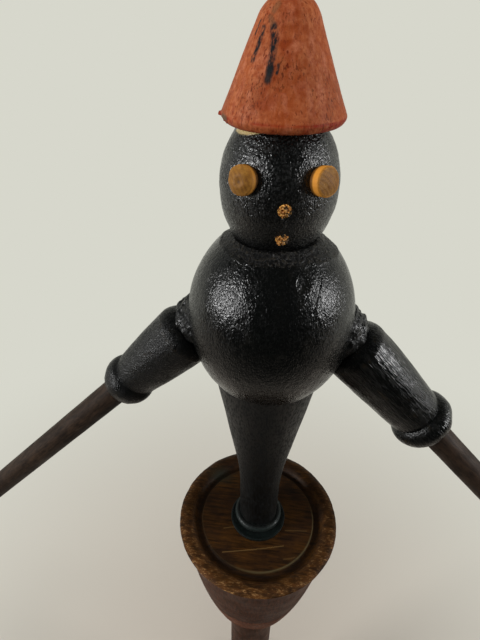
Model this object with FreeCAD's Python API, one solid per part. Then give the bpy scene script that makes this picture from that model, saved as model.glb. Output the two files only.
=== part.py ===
# Wooden balancing toy: a turned figure that stands on a steel ball in a brass cup on top of
# a turned stand, and stays upright because its long arms carry weighted balls below the cup.
# Millimetres. +Z is up. The origin is on the ground, on the axis of the stand, and the arms
# lie along X. The figure faces -Y.
import FreeCAD, Part
import math
import os

from FreeCAD import Placement, Rotation, Vector

# Clearances
GLUE_GAP = 0.05          # radial gap of a glued dowel, peg or rod in its hole
RUN_GAP = 0.05           # radial gap of the two running fits at the pivot
HOLE_END_GAP = 0.5       # air left beyond the end of a dowel
ROCK_ROOM = 0.2          # least air under the foot when it rocks furthest

# Stand
PLATFORM_HEIGHT = 260.0  # top face of the platform above the ground
PLATFORM_THICKNESS = 3.0
PLATFORM_RADIUS = 28.1
PLATFORM_FACE_RADIUS = 19.9
GROOVE_WIDTH = 2.7
GROOVE_HOLLOW = 1.0
GROOVE_END_DROP = 0.5
RIM_CROWN = 1.15
RIM_EDGE_RISE = 0.2
RIM_UNDERCUT = 1.1
RIM_EDGE_DROP = 2.0
BELL_HEIGHT = 33.3
BELL_CURVE_RADIUS = 27.7
BELL_CURVE_HALF_HEIGHT = 110.9
BELL_CURVE_RISE = 33.7   # centre of the bell's curve above the platform's face
BAND_HEIGHT = 16.7
BAND_ROUND = 2.4
STEM_RADIUS = 9.5
STEM_TENON_RADIUS = 7.0
STEM_TENON_IN_BELL = 12.0
STEM_FOOT_TENON_RADIUS = 6.0
STEM_FOOT_TENON_LENGTH = 7.0
STEM_FLARE_RADIUS = 15.5
STEM_FLARE_HEIGHT = 17.0
STEM_FLARE_HOLLOW = 1.8
STEM_WAIST_RADIUS = 8.2  # below and above the vase
STEM_RING_RADIUS = 12.2
STEM_RING_HEIGHT = 6.0
VASE_RADIUS = 15.0
VASE_HEIGHT = 84.0
VASE_BELLY_RISE = 26.0   # fullest section above the foot of the vase
BASE_RADIUS = 46.0
BASE_EDGE = 7.0
BASE_EDGE_ROUND = 1.5
BASE_HEIGHT = 13.5
BASE_BOSS_RADIUS = 19.0
BASE_HOLLOW = 1.6

# Pivot
BALL_RADIUS = 1.8
BALL_RISE = 1.5          # centre of the pivot ball above the platform's face
SEAT_SET_BACK = 0.75     # rims of the cup and the socket above and below the ball's centre
CUP_RADIUS = 3.0
CUP_DEPTH = 6.0          # bottom of the brass cup below the platform's face
SOCKET_RADIUS = 3.0
SOCKET_LENGTH = 9.0
ROCK_DEGREES = 10.0      # rocking each way, front to back and side to side
RING_RADIUS = 9.6
RING_LIP_WIDTH = 0.65
RING_LIP_HEIGHT = 1.0
RING_FLOOR = 0.5

# Leg
LEG_TOP_HEIGHT = 73.0    # joint of leg and torso above the platform's face
LEG_TOP_RADIUS = 14.2
LEG_TAPER = 0.166        # radius lost for each millimetre down
ANKLE_RADIUS = 6.5
ANKLE_BLEND = 10.0       # length of the curve on each side of the ankle's corner
FOOT_BEAD_RADIUS = 6.9   # to the middle of the bead's section
FOOT_BEAD_ROUND = 1.3
SEAM_GROOVE = 0.45

# Torso, head and hat
TORSO_HEIGHT = 38.5
TORSO_RADIUS = 20.4
TORSO_HALF_HEIGHT = 24.7
TORSO_WAIST = 16.8       # widest section above the torso's foot
HEAD_HEIGHT = 22.9
HEAD_RADIUS = 12.25
HEAD_HALF_HEIGHT = 15.8
HEAD_WAIST = 10.75       # widest section above the head's foot
HAT_RIM_RADIUS = 11.85
HAT_RIM_ROUND = 1.5
HAT_TAPER = 0.43         # radius lost for each millimetre up
HAT_TIP_RADIUS = 5.8
LEG_DOWEL_RADIUS = 4.0
NECK_DOWEL_RADIUS = 3.0
HAT_DOWEL_RADIUS = 2.5
LEG_DOWEL_DEPTH = 14.0   # each way from the joint
NECK_DOWEL_DEPTH = 10.0
HAT_DOWEL_DEPTH = 9.0

# Face
FACE_TURN = 6.5          # degrees that the head is turned towards +X
EYE_SPREAD = 37.0        # degrees from the middle of the face to each eye
EYE_HEIGHT = 14.7        # on the surface, above the foot of the head
EYE_TILT = 12.0
EYE_RADIUS = 2.8
EYE_DEPTH = 5.0
LEFT_EYE_PROUD = 1.3
LEFT_EYE_CROWN = 1.1
RIGHT_EYE_PROUD = 1.7
RIGHT_EYE_CROWN = 0.35
NOSE_HEIGHT = 10.0
MOUTH_HEIGHT = 3.8
SMALL_PEG_TURN = 2.0     # degrees from the middle of the face
SMALL_PEG_RADIUS = 1.25
SMALL_PEG_DEPTH = 4.0
SMALL_PEG_PROUD = 0.3

# Arms, measured along the arm from the axis of the figure
ARM_DROP = 46.4          # degrees below the horizontal
ARM_HEIGHT = 31.2        # where the arm's axis meets the figure's, above the torso's foot
ROD_RADIUS = 4.0
ROD_START = 12.0
SHOULDER_START = 22.0
SHOULDER_RADIUS = 7.2
SHOULDER_NECK_RADIUS = 6.3
SHOULDER_BULGE = 0.3
SLEEVE_START = 28.4
SLEEVE_SEAT = 8.0         # length of the seat that the torso gives the sleeve
SLEEVE_TOP_RADIUS = 8.35
SLEEVE_TOP_ROUND = 3.4
SLEEVE_TOP_BULGE = 0.45
LEFT_SLEEVE_NECK = 54.1
LEFT_SLEEVE_NECK_RADIUS = 6.55
LEFT_CUFF_RADIUS = 7.4
RIGHT_SLEEVE_NECK = 59.8
RIGHT_SLEEVE_NECK_RADIUS = 7.1
RIGHT_CUFF_RADIUS = 8.7
CUFF_LENGTH = 7.4
CUFF_CROWN = 3.2          # from the neck to the fullest section
CUFF_FALL = 0.85          # radius lost from the fullest section to the edge of the mouth
CUFF_END_ROUND = 1.5
CUFF_END_BULGE = 0.35
CUFF_MOUTH_RADIUS = 5.0
WEIGHT_DISTANCE = 260.0  # centre of the ball
WEIGHT_RADIUS = 19.0
ROD_IN_BALL = 10.0
SLUG_RADIUS = 8.0
SLUG_LENGTH = 14.0
SLUG_BEFORE_CENTRE = 5.0

# Worked out from the sizes above
PIVOT_HEIGHT = PLATFORM_HEIGHT + BALL_RISE
TORSO_FOOT = PLATFORM_HEIGHT + LEG_TOP_HEIGHT
TORSO_TOP = TORSO_FOOT + TORSO_HEIGHT
HEAD_TOP = TORSO_TOP + HEAD_HEIGHT
BELL_TOP = PLATFORM_HEIGHT - PLATFORM_THICKNESS
BAND_TOP = BELL_TOP - BELL_HEIGHT
STEM_TOP = BAND_TOP - BAND_HEIGHT
PIVOT_BORE = CUP_RADIUS + RUN_GAP
BALL_SEAT = BALL_RADIUS + RUN_GAP
UPRIGHT = Vector(0, 0, 1)


class Outline:
    """Half outline of a turned piece, drawn in the XZ plane and spun about Z."""

    def __init__(self, radius, height):
        self.first = Vector(radius, 0, height)
        self.last = self.first
        self.edges = []

    def line(self, radius, height):
        end = Vector(radius, 0, height)
        self.edges.append(Part.makeLine(self.last, end))
        self.last = end
        return self

    def arc(self, mid_radius, mid_height, radius, height):
        end = Vector(radius, 0, height)
        middle = Vector(mid_radius, 0, mid_height)
        self.edges.append(Part.Arc(self.last, middle, end).toShape())
        self.last = end
        return self

    def bow(self, radius, height, bulge):
        """Arc that stands off its chord by the bulge, to the right of the way it runs."""
        end = Vector(radius, 0, height)
        run = end - self.last
        aside = Vector(run.z, 0, -run.x).normalize() * bulge
        middle = (self.last + end) * 0.5 + aside
        return self.arc(middle.x, middle.z, radius, height)

    def round_about(self, radius, height, to_radius, to_height):
        """Arc about a centre, the short way round to the given end."""
        centre = Vector(radius, 0, height)
        end = Vector(to_radius, 0, to_height)
        reach = (self.last - centre).Length
        middle = (self.last + end) * 0.5 - centre
        middle = centre + middle.normalize() * reach
        return self.arc(middle.x, middle.z, end.x, end.z)

    def curve(self, points):
        """Smooth curve from here through the given radii and heights."""
        stops = [self.last] + [Vector(radius, 0, height) for radius, height in points]
        spline = Part.BSplineCurve()
        spline.interpolate(stops)
        self.edges.append(spline.toShape())
        self.last = stops[-1]
        return self

    def egg(self, centre_height, egg_radius, half_height, height):
        """Stretch of an ellipse about the axis, from here to the given height."""
        start = self.last
        end = Vector(egg_at(centre_height, egg_radius, half_height, height), 0, height)
        centre = Vector(0, 0, centre_height)
        if half_height > egg_radius:
            major, minor = Vector(0, 0, half_height), Vector(-egg_radius, 0, 0)
        else:
            major, minor = Vector(egg_radius, 0, 0), Vector(0, 0, half_height)
        ellipse = Part.Ellipse(centre + major, centre + minor, centre)
        limits = sorted([ellipse.parameter(start), ellipse.parameter(end)])
        if limits[1] - limits[0] > math.pi:
            limits = [limits[1], limits[0] + 2 * math.pi]
        self.edges.append(Part.Edge(ellipse, limits[0], limits[1]))
        self.last = end
        return self

    def spin(self):
        closed = self.edges + [Part.makeLine(self.last, self.first)]
        wire = Part.Wire(Part.__sortEdges__(closed))
        solid = Part.Face(wire).revolve(Vector(0, 0, 0), UPRIGHT, 360)
        if solid.Volume < 0:
            solid.reverse()
        return solid


def egg_at(centre_height, egg_radius, half_height, height):
    """Radius of an egg, or of any ellipse about the axis, at one height."""
    share = (height - centre_height) / half_height
    return egg_radius * math.sqrt(1 - share * share)


def rod(radius, start, end):
    return Part.makeCylinder(radius, end - start, Vector(0, 0, start))


def bell_radius(height):
    return egg_at(PLATFORM_HEIGHT + BELL_CURVE_RISE, BELL_CURVE_RADIUS, BELL_CURVE_HALF_HEIGHT, height)


# Stand
def stand_base():
    seat = BASE_HEIGHT - STEM_FOOT_TENON_LENGTH - HOLE_END_GAP
    bore = STEM_FOOT_TENON_RADIUS + GLUE_GAP
    side = BASE_RADIUS - BASE_EDGE_ROUND
    shape = Outline(0, 0).line(side, 0)
    shape.round_about(side, BASE_EDGE_ROUND, BASE_RADIUS, BASE_EDGE_ROUND)
    shape.line(BASE_RADIUS, BASE_EDGE - BASE_EDGE_ROUND)
    shape.round_about(side, BASE_EDGE - BASE_EDGE_ROUND, side, BASE_EDGE)
    shape.bow(BASE_BOSS_RADIUS, BASE_HEIGHT, -BASE_HOLLOW)
    return shape.line(bore, BASE_HEIGHT).line(bore, seat).line(0, seat).spin()


def stand_stem():
    shoulder = BASE_HEIGHT
    flare_top = shoulder + STEM_FLARE_HEIGHT
    vase_foot = flare_top + STEM_RING_HEIGHT
    vase_top = vase_foot + VASE_HEIGHT
    neck = vase_top + STEM_RING_HEIGHT
    half_ring = STEM_RING_HEIGHT / 2
    top = STEM_TOP + BAND_HEIGHT + STEM_TENON_IN_BELL
    shape = Outline(0, shoulder - STEM_FOOT_TENON_LENGTH)
    shape.line(STEM_FOOT_TENON_RADIUS, shoulder - STEM_FOOT_TENON_LENGTH)
    shape.line(STEM_FOOT_TENON_RADIUS, shoulder)
    shape.line(STEM_FLARE_RADIUS, shoulder)
    shape.bow(STEM_WAIST_RADIUS, flare_top, -STEM_FLARE_HOLLOW)
    shape.arc(STEM_RING_RADIUS, flare_top + half_ring, STEM_WAIST_RADIUS, vase_foot)
    slim = (VASE_RADIUS + STEM_WAIST_RADIUS * 2) / 3
    slim_height = vase_foot + (VASE_BELLY_RISE + VASE_HEIGHT) / 2
    shape.curve([(VASE_RADIUS, vase_foot + VASE_BELLY_RISE), (slim, slim_height),
                 (STEM_WAIST_RADIUS, vase_top)])
    shape.arc(STEM_RING_RADIUS, vase_top + half_ring, STEM_RADIUS, neck)
    shape.line(STEM_RADIUS, STEM_TOP)
    shape.line(STEM_TENON_RADIUS, STEM_TOP)
    return shape.line(STEM_TENON_RADIUS, top).line(0, top).spin()


def stand_band():
    bore = STEM_TENON_RADIUS + GLUE_GAP
    round_top = STEM_TOP + BAND_ROUND
    edge = bell_radius(round_top)
    shape = Outline(bore, STEM_TOP).line(edge - BAND_ROUND, STEM_TOP)
    shape.round_about(edge - BAND_ROUND, round_top, edge, round_top)
    shape.egg(PLATFORM_HEIGHT + BELL_CURVE_RISE, BELL_CURVE_RADIUS, BELL_CURVE_HALF_HEIGHT, BAND_TOP)
    return shape.line(bore, BAND_TOP).spin()


def stand_bell():
    bore = STEM_TENON_RADIUS + GLUE_GAP
    bore_end = BAND_TOP + STEM_TENON_IN_BELL + HOLE_END_GAP
    cup_floor = PLATFORM_HEIGHT - CUP_DEPTH
    shape = Outline(0, bore_end).line(bore, bore_end).line(bore, BAND_TOP)
    shape.line(bell_radius(BAND_TOP), BAND_TOP)
    shape.egg(PLATFORM_HEIGHT + BELL_CURVE_RISE, BELL_CURVE_RADIUS, BELL_CURVE_HALF_HEIGHT, BELL_TOP)
    return shape.line(PIVOT_BORE, BELL_TOP).line(PIVOT_BORE, cup_floor).line(0, cup_floor).spin()


def platform():
    face = PLATFORM_HEIGHT
    edge = PLATFORM_RADIUS
    shape = Outline(PIVOT_BORE, BELL_TOP).line(PIVOT_BORE, face).line(PLATFORM_FACE_RADIUS, face)
    shape.bow(PLATFORM_FACE_RADIUS + GROOVE_WIDTH, face - GROOVE_END_DROP, GROOVE_HOLLOW)
    shape.bow(edge, face + RIM_EDGE_RISE, -RIM_CROWN)
    shape.line(edge - RIM_UNDERCUT, face - RIM_EDGE_DROP)
    return shape.line(bell_radius(BELL_TOP), BELL_TOP).spin()


def foot_ring():
    face = PLATFORM_HEIGHT
    lip = RING_RADIUS - RING_LIP_WIDTH
    shape = Outline(PIVOT_BORE, face).line(RING_RADIUS, face).line(RING_RADIUS, face + RING_LIP_HEIGHT)
    shape.line(lip, face + RING_LIP_HEIGHT).line(lip, face + RING_FLOOR)
    return shape.line(PIVOT_BORE, face + RING_FLOOR).spin()


# Pivot
def pivot_cup():
    rim = PIVOT_HEIGHT - SEAT_SET_BACK
    body = rod(CUP_RADIUS, PLATFORM_HEIGHT - CUP_DEPTH, rim)
    return body.cut(Part.makeSphere(BALL_SEAT, Vector(0, 0, PIVOT_HEIGHT)))


def pivot_ball():
    return Part.makeSphere(BALL_RADIUS, Vector(0, 0, PIVOT_HEIGHT))


def foot_socket():
    rim = PIVOT_HEIGHT + SEAT_SET_BACK
    body = rod(SOCKET_RADIUS, rim, rim + SOCKET_LENGTH)
    return body.cut(Part.makeSphere(BALL_SEAT, Vector(0, 0, PIVOT_HEIGHT)))


# Figure
def foot_bead_height():
    """Middle of the foot's bead: low, but clear of the ring when both rocks are at their end."""
    lean = math.radians(math.hypot(ROCK_DEGREES, ROCK_DEGREES))
    drop = FOOT_BEAD_RADIUS * math.sin(lean) + FOOT_BEAD_ROUND - BALL_RISE * (1 - math.cos(lean))
    return PLATFORM_HEIGHT + (RING_FLOOR + ROCK_ROOM + drop) / math.cos(lean)


def leg():
    bead = foot_bead_height()
    sole = bead - FOOT_BEAD_ROUND
    socket_bore = SOCKET_RADIUS + GLUE_GAP
    socket_end = PIVOT_HEIGHT + SEAT_SET_BACK + SOCKET_LENGTH
    dowel_bore = LEG_DOWEL_RADIUS + GLUE_GAP
    dowel_end = TORSO_FOOT - LEG_DOWEL_DEPTH - HOLE_END_GAP
    slope = math.atan(LEG_TAPER)
    corner = TORSO_FOOT - (LEG_TOP_RADIUS - ANKLE_RADIUS) / LEG_TAPER
    curve_start = corner - ANKLE_BLEND
    curve_end = corner + ANKLE_BLEND * math.cos(slope)
    curve_end_radius = ANKLE_RADIUS + ANKLE_BLEND * math.sin(slope)
    blend_radius = ANKLE_BLEND / math.tan(slope / 2)
    bead_top = bead + math.sqrt(FOOT_BEAD_ROUND ** 2 - (FOOT_BEAD_RADIUS - ANKLE_RADIUS) ** 2)
    groove = TORSO_FOOT - SEAM_GROOVE
    shape = Outline(0, socket_end).line(socket_bore, socket_end).line(socket_bore, sole)
    shape.line(FOOT_BEAD_RADIUS, sole)
    shape.arc(FOOT_BEAD_RADIUS + FOOT_BEAD_ROUND, bead, ANKLE_RADIUS, bead_top)
    shape.line(ANKLE_RADIUS, curve_start)
    shape.round_about(ANKLE_RADIUS + blend_radius, curve_start, curve_end_radius, curve_end)
    shape.line(LEG_TOP_RADIUS - LEG_TAPER * SEAM_GROOVE, groove)
    shape.line(LEG_TOP_RADIUS - SEAM_GROOVE, TORSO_FOOT)
    shape.line(dowel_bore, TORSO_FOOT).line(dowel_bore, dowel_end)
    return shape.line(0, dowel_end).spin()


def torso():
    waist = TORSO_FOOT + TORSO_WAIST
    foot_radius = egg_at(waist, TORSO_RADIUS, TORSO_HALF_HEIGHT, TORSO_FOOT)
    shape = Outline(0, TORSO_FOOT).line(foot_radius, TORSO_FOOT)
    shape.egg(waist, TORSO_RADIUS, TORSO_HALF_HEIGHT, TORSO_TOP)
    body = shape.line(0, TORSO_TOP).spin()
    leg_end = TORSO_FOOT + LEG_DOWEL_DEPTH + HOLE_END_GAP
    neck_end = TORSO_TOP - NECK_DOWEL_DEPTH - HOLE_END_GAP
    body = body.cut(rod(LEG_DOWEL_RADIUS + GLUE_GAP, TORSO_FOOT, leg_end))
    body = body.cut(rod(NECK_DOWEL_RADIUS + GLUE_GAP, neck_end, TORSO_TOP))
    for side in SIDES.values():
        hole = rod(ROD_RADIUS + GLUE_GAP, ROD_START - HOLE_END_GAP, SLEEVE_START)
        seat = rod(SHOULDER_RADIUS + GLUE_GAP, SHOULDER_START, SLEEVE_START)
        sleeve_seat = rod(SLEEVE_TOP_RADIUS + GLUE_GAP, SLEEVE_START, SLEEVE_START + SLEEVE_SEAT)
        for cutter in (hole, seat, sleeve_seat):
            body = body.cut(on_arm(cutter, side))
    return body


def head_radius(height):
    return egg_at(TORSO_TOP + HEAD_WAIST, HEAD_RADIUS, HEAD_HALF_HEIGHT, height)


def head():
    shape = Outline(0, TORSO_TOP).line(head_radius(TORSO_TOP), TORSO_TOP)
    shape.egg(TORSO_TOP + HEAD_WAIST, HEAD_RADIUS, HEAD_HALF_HEIGHT, HEAD_TOP)
    body = shape.line(0, HEAD_TOP).spin()
    neck_end = TORSO_TOP + NECK_DOWEL_DEPTH + HOLE_END_GAP
    body = body.cut(rod(NECK_DOWEL_RADIUS + GLUE_GAP, TORSO_TOP, neck_end))
    body = body.cut(rod(HAT_DOWEL_RADIUS + GLUE_GAP, HEAD_TOP - HAT_DOWEL_DEPTH - HOLE_END_GAP, HEAD_TOP))
    for peg in PEGS.values():
        bore = rod(peg["radius"] + GLUE_GAP, -peg["depth"] - HOLE_END_GAP, HEAD_RADIUS)
        body = body.cut(on_face(bore, peg))
    return body


def hat():
    seat = HEAD_TOP
    rim = seat + HAT_RIM_ROUND
    apex = rim + HAT_RIM_RADIUS / HAT_TAPER
    slope = math.atan(HAT_TAPER)
    tip_centre = apex - HAT_TIP_RADIUS / math.sin(slope)
    tip_edge = HAT_TIP_RADIUS * math.cos(slope)
    tip_edge_height = tip_centre + HAT_TIP_RADIUS * math.sin(slope)
    bore = HAT_DOWEL_RADIUS + GLUE_GAP
    bore_end = seat + HAT_DOWEL_DEPTH + HOLE_END_GAP
    shape = Outline(0, bore_end).line(bore, bore_end).line(bore, seat)
    shape.line(HAT_RIM_RADIUS - HAT_RIM_ROUND, seat)
    shape.round_about(HAT_RIM_RADIUS - HAT_RIM_ROUND, rim, HAT_RIM_RADIUS, rim)
    shape.line(tip_edge, tip_edge_height)
    shape.round_about(0, tip_centre, 0, tip_centre + HAT_TIP_RADIUS)
    return shape.spin()


def dowel(radius, joint, depth):
    return rod(radius, joint - depth, joint + depth)


# Face
PEGS = {
    "eye_left": {"turn": -EYE_SPREAD, "height": EYE_HEIGHT, "tilt": EYE_TILT, "radius": EYE_RADIUS,
                 "depth": EYE_DEPTH, "proud": LEFT_EYE_PROUD, "crown": LEFT_EYE_CROWN},
    "eye_right": {"turn": EYE_SPREAD, "height": EYE_HEIGHT, "tilt": EYE_TILT, "radius": EYE_RADIUS,
                  "depth": EYE_DEPTH, "proud": RIGHT_EYE_PROUD, "crown": RIGHT_EYE_CROWN},
    "nose_peg": {"turn": SMALL_PEG_TURN, "height": NOSE_HEIGHT, "tilt": 0,
                 "radius": SMALL_PEG_RADIUS, "depth": SMALL_PEG_DEPTH, "proud": SMALL_PEG_PROUD,
                 "crown": 0},
    "mouth_peg": {"turn": SMALL_PEG_TURN, "height": MOUTH_HEIGHT, "tilt": 0,
                  "radius": SMALL_PEG_RADIUS, "depth": SMALL_PEG_DEPTH, "proud": SMALL_PEG_PROUD,
                  "crown": 0},
}


def on_face(shape, peg):
    """Places a shape drawn about Z, with z = 0 on the head's surface and +z outwards."""
    height = TORSO_TOP + peg["height"]
    outwards = Rotation(Vector(1, 0, 0), 90 - peg["tilt"])
    turn = Rotation(UPRIGHT, FACE_TURN + peg["turn"])
    place = turn.multVec(Vector(0, -head_radius(height), height))
    placed = shape.copy()
    placed.Placement = Placement(place, turn.multiply(outwards))
    return placed


def face_peg(peg):
    radius, proud, crown = peg["radius"], peg["proud"], peg["crown"]
    shape = Outline(0, -peg["depth"]).line(radius, -peg["depth"]).line(radius, proud)
    if crown > 0:
        ball = (radius * radius + crown * crown) / (2 * crown)
        shape.round_about(0, proud + crown - ball, 0, proud + crown)
    else:
        shape.line(0, proud)
    return on_face(shape.spin(), peg)


# Arms
SIDES = {"left": -1, "right": 1}
SLEEVES = {
    "left": {"neck": LEFT_SLEEVE_NECK, "neck_radius": LEFT_SLEEVE_NECK_RADIUS,
             "cuff_radius": LEFT_CUFF_RADIUS},
    "right": {"neck": RIGHT_SLEEVE_NECK, "neck_radius": RIGHT_SLEEVE_NECK_RADIUS,
              "cuff_radius": RIGHT_CUFF_RADIUS},
}


def on_arm(shape, side):
    """Places a shape drawn about Z, with z measured along the arm from the figure's axis."""
    lean = Rotation(Vector(0, 1, 0), side * (90 + ARM_DROP))
    placed = shape.copy()
    placed.Placement = Placement(Vector(0, 0, TORSO_FOOT + ARM_HEIGHT), lean)
    return placed


def arm_rod():
    return rod(ROD_RADIUS, ROD_START, WEIGHT_DISTANCE - WEIGHT_RADIUS + ROD_IN_BALL)


def shoulder():
    bore = ROD_RADIUS + GLUE_GAP
    middle = (SHOULDER_START + SLEEVE_START) / 2
    shape = Outline(bore, SHOULDER_START).line(SHOULDER_RADIUS, SHOULDER_START)
    shape.line(SHOULDER_RADIUS, middle)
    shape.bow(SHOULDER_NECK_RADIUS, SLEEVE_START, SHOULDER_BULGE)
    return shape.line(bore, SLEEVE_START).spin()


def sleeve(name):
    bore = ROD_RADIUS + GLUE_GAP
    neck, neck_radius, cuff_radius = SLEEVES[name].values()
    end = neck + CUFF_LENGTH
    shape = Outline(bore, SLEEVE_START).line(SHOULDER_NECK_RADIUS, SLEEVE_START)
    shape.bow(SLEEVE_TOP_RADIUS, SLEEVE_START + SLEEVE_TOP_ROUND, SLEEVE_TOP_BULGE)
    shape.line(neck_radius, neck)
    shape.arc(cuff_radius, neck + CUFF_CROWN, cuff_radius - CUFF_FALL, end - CUFF_END_ROUND)
    shape.bow(CUFF_MOUTH_RADIUS, end, CUFF_END_BULGE)
    return shape.line(bore, end).spin()


def ball():
    near = WEIGHT_DISTANCE - WEIGHT_RADIUS
    slug_start = WEIGHT_DISTANCE - SLUG_BEFORE_CENTRE
    far = WEIGHT_DISTANCE + WEIGHT_RADIUS
    body = Part.makeSphere(WEIGHT_RADIUS, Vector(0, 0, WEIGHT_DISTANCE))
    body = body.cut(rod(ROD_RADIUS + GLUE_GAP, near - WEIGHT_RADIUS, near + ROD_IN_BALL))
    return body.cut(rod(SLUG_RADIUS + GLUE_GAP, slug_start, far + WEIGHT_RADIUS))


def slug():
    start = WEIGHT_DISTANCE - SLUG_BEFORE_CENTRE
    return rod(SLUG_RADIUS, start, start + SLUG_LENGTH)


def ball_plug():
    start = WEIGHT_DISTANCE - SLUG_BEFORE_CENTRE + SLUG_LENGTH
    plug = rod(SLUG_RADIUS, start, WEIGHT_DISTANCE + WEIGHT_RADIUS)
    return plug.common(Part.makeSphere(WEIGHT_RADIUS, Vector(0, 0, WEIGHT_DISTANCE)))


def all_pieces():
    pieces = {
        "stand_base": stand_base(),
        "stand_stem": stand_stem(),
        "stand_band": stand_band(),
        "stand_bell": stand_bell(),
        "platform": platform(),
        "foot_ring": foot_ring(),
        "pivot_cup": pivot_cup(),
        "pivot_ball": pivot_ball(),
        "foot_socket": foot_socket(),
        "leg": leg(),
        "leg_dowel": dowel(LEG_DOWEL_RADIUS, TORSO_FOOT, LEG_DOWEL_DEPTH),
        "torso": torso(),
        "neck_dowel": dowel(NECK_DOWEL_RADIUS, TORSO_TOP, NECK_DOWEL_DEPTH),
        "head": head(),
        "hat": hat(),
        "hat_dowel": dowel(HAT_DOWEL_RADIUS, HEAD_TOP, HAT_DOWEL_DEPTH),
    }
    for name, peg in PEGS.items():
        pieces[name] = face_peg(peg)
    for name, side in SIDES.items():
        pieces["sleeve_" + name] = on_arm(sleeve(name), side)
        for piece, make in (("shoulder", shoulder), ("arm_rod", arm_rod), ("ball", ball),
                            ("slug", slug), ("ball_plug", ball_plug)):
            pieces[piece + "_" + name] = on_arm(make(), side)
    return {name: piece.Solids[0] for name, piece in pieces.items()}


# Weights, to show that the figure balances
DENSITY = {"slug": 7850, "pivot_ball": 7850, "foot_socket": 7850, "pivot_cup": 8500}
WOOD_DENSITY = 600
STILL = ("stand", "platform", "foot_ring", "pivot_cup", "pivot_ball")


def print_balance(pieces):
    mass = 0.0
    moment = 0.0
    for name, shape in pieces.items():
        if name.startswith(STILL):
            continue
        density = next((DENSITY[key] for key in DENSITY if name.startswith(key)), WOOD_DENSITY)
        grams = shape.Volume * density / 1e6
        mass += grams
        moment += grams * (shape.CenterOfMass.z - PIVOT_HEIGHT)
    print("figure %.1f g, centre of mass %.1f mm above the pivot" % (mass, moment / mass))


os.makedirs("parts", exist_ok=True)
made = all_pieces()
for node, solid in made.items():
    solid.exportStep("parts/" + node + ".step")
    print(node, "valid" if solid.isValid() else "NOT VALID", "volume %.1f" % solid.Volume)
print_balance(made)
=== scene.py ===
"""Wooden balancing toy.

A turned and painted figure stands on one point on top of a turned stand. Its long arms carry
weighted balls, which keep it upright. The frame gives the place and size of every piece, and this
file gives them the shapes, the wear and the finishes that the eye sees.

Lengths are in metres, so sizes are written as millimetres times MM. The figure faces -Y, and its
arms lie along X. A bearing is in degrees from the front, -Y, towards +X.
"""
import math

import bpy
import numpy as np
from mathutils import Matrix, Vector


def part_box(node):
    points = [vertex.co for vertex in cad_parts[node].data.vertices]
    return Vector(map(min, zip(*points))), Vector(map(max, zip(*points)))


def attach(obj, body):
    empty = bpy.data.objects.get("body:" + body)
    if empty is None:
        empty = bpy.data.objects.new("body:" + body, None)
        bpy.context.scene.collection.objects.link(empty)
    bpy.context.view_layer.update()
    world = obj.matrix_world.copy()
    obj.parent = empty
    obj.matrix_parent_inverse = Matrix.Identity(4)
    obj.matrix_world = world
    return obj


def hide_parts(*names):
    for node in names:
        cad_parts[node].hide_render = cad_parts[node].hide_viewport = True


bl_info = {
    "name": "Wooden Balancing Toy",
    "version": (1, 0, 0),
    "blender": (4, 5, 0),
    "location": "3D View > Sidebar > Balancing Toy",
    "description": "Builds a turned and painted balancing figure on its stand",
    "category": "Object",
}

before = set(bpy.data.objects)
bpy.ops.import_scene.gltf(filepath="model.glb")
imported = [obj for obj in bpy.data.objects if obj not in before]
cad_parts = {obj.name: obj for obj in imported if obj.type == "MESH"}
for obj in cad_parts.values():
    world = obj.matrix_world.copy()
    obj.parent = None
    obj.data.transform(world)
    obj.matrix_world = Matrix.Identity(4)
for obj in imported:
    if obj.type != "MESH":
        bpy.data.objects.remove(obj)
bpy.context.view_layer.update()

MM = 0.001
SIDES = {"left": -1, "right": 1}
SPIN_RADIUS = 0.25
SHARP_EDGE = math.radians(38)
LOWER_TENON = 6 * MM
UPPER_TENON = 7 * MM
LIGHT_AIM = 0.33
EVEN = (1, 1, 1)

# Settings that many nodes share
COLOUR = {"data_type": "RGBA"}
TIMES = {"operation": "MULTIPLY"}
MINUS = {"operation": "SUBTRACT"}
TIMES_PLUS = {"operation": "MULTIPLY_ADD"}
SOFT_STEP = {"interpolation_type": "SMOOTHSTEP"}


# Places taken from the frame
def low(node):
    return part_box(node)[0].z


def high(node):
    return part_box(node)[1].z


def widest(node):
    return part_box(node)[1].x


FACE = low("foot_ring")
TORSO_FOOT = low("torso")
TORSO_TOP = high("torso")
HEAD_TOP = high("head")


# Shared helpers
def shade(code):
    """Linear colour of an sRGB hex value."""
    parts = [int(code[i:i + 2], 16) / 255 for i in (1, 3, 5)]
    line = [p / 12.92 if p <= 0.04045 else ((p + 0.055) / 1.055) ** 2.4 for p in parts]
    return (*line, 1.0)


def add(tree, kind, settings=None, links=None):
    """Adds a node. A link is a value, a node for its first live output, or a node and an output."""
    node = tree.nodes.new(kind)
    for name, value in (settings or {}).items():
        setattr(node, name, value)
    for name, value in (links or {}).items():
        named = (s for s in node.inputs if s.name == name and s.enabled)
        socket = node.inputs[name] if isinstance(name, int) else next(named)
        if isinstance(value, bpy.types.Node):
            tree.links.new(next(o for o in value.outputs if o.enabled), socket)
        elif isinstance(value, tuple) and isinstance(value[0], bpy.types.Node):
            tree.links.new(value[0].outputs[value[1]], socket)
        else:
            socket.default_value = value
    return node


def bearing(degrees):
    """Angle about Z of a bearing, in radians from +X."""
    return math.radians(degrees - 90)


def smooth(values, start, end):
    """0 before start, 1 after end, and a soft step between them."""
    share = np.clip((values - start) / (end - start), 0, 1)
    return share * share * (3 - 2 * share)


def ridge(distance, width):
    """1 at no distance, falling away to both sides."""
    return np.exp(-(distance / width) ** 2)


def off_line(across, up, run_across, run_up):
    """How far places lie from a line that runs from nothing across and nothing up."""
    share = (across * run_across + up * run_up) / (run_across ** 2 + run_up ** 2)
    share = np.clip(share, 0, 1)
    return np.hypot(across - share * run_across, up - share * run_up)


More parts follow.
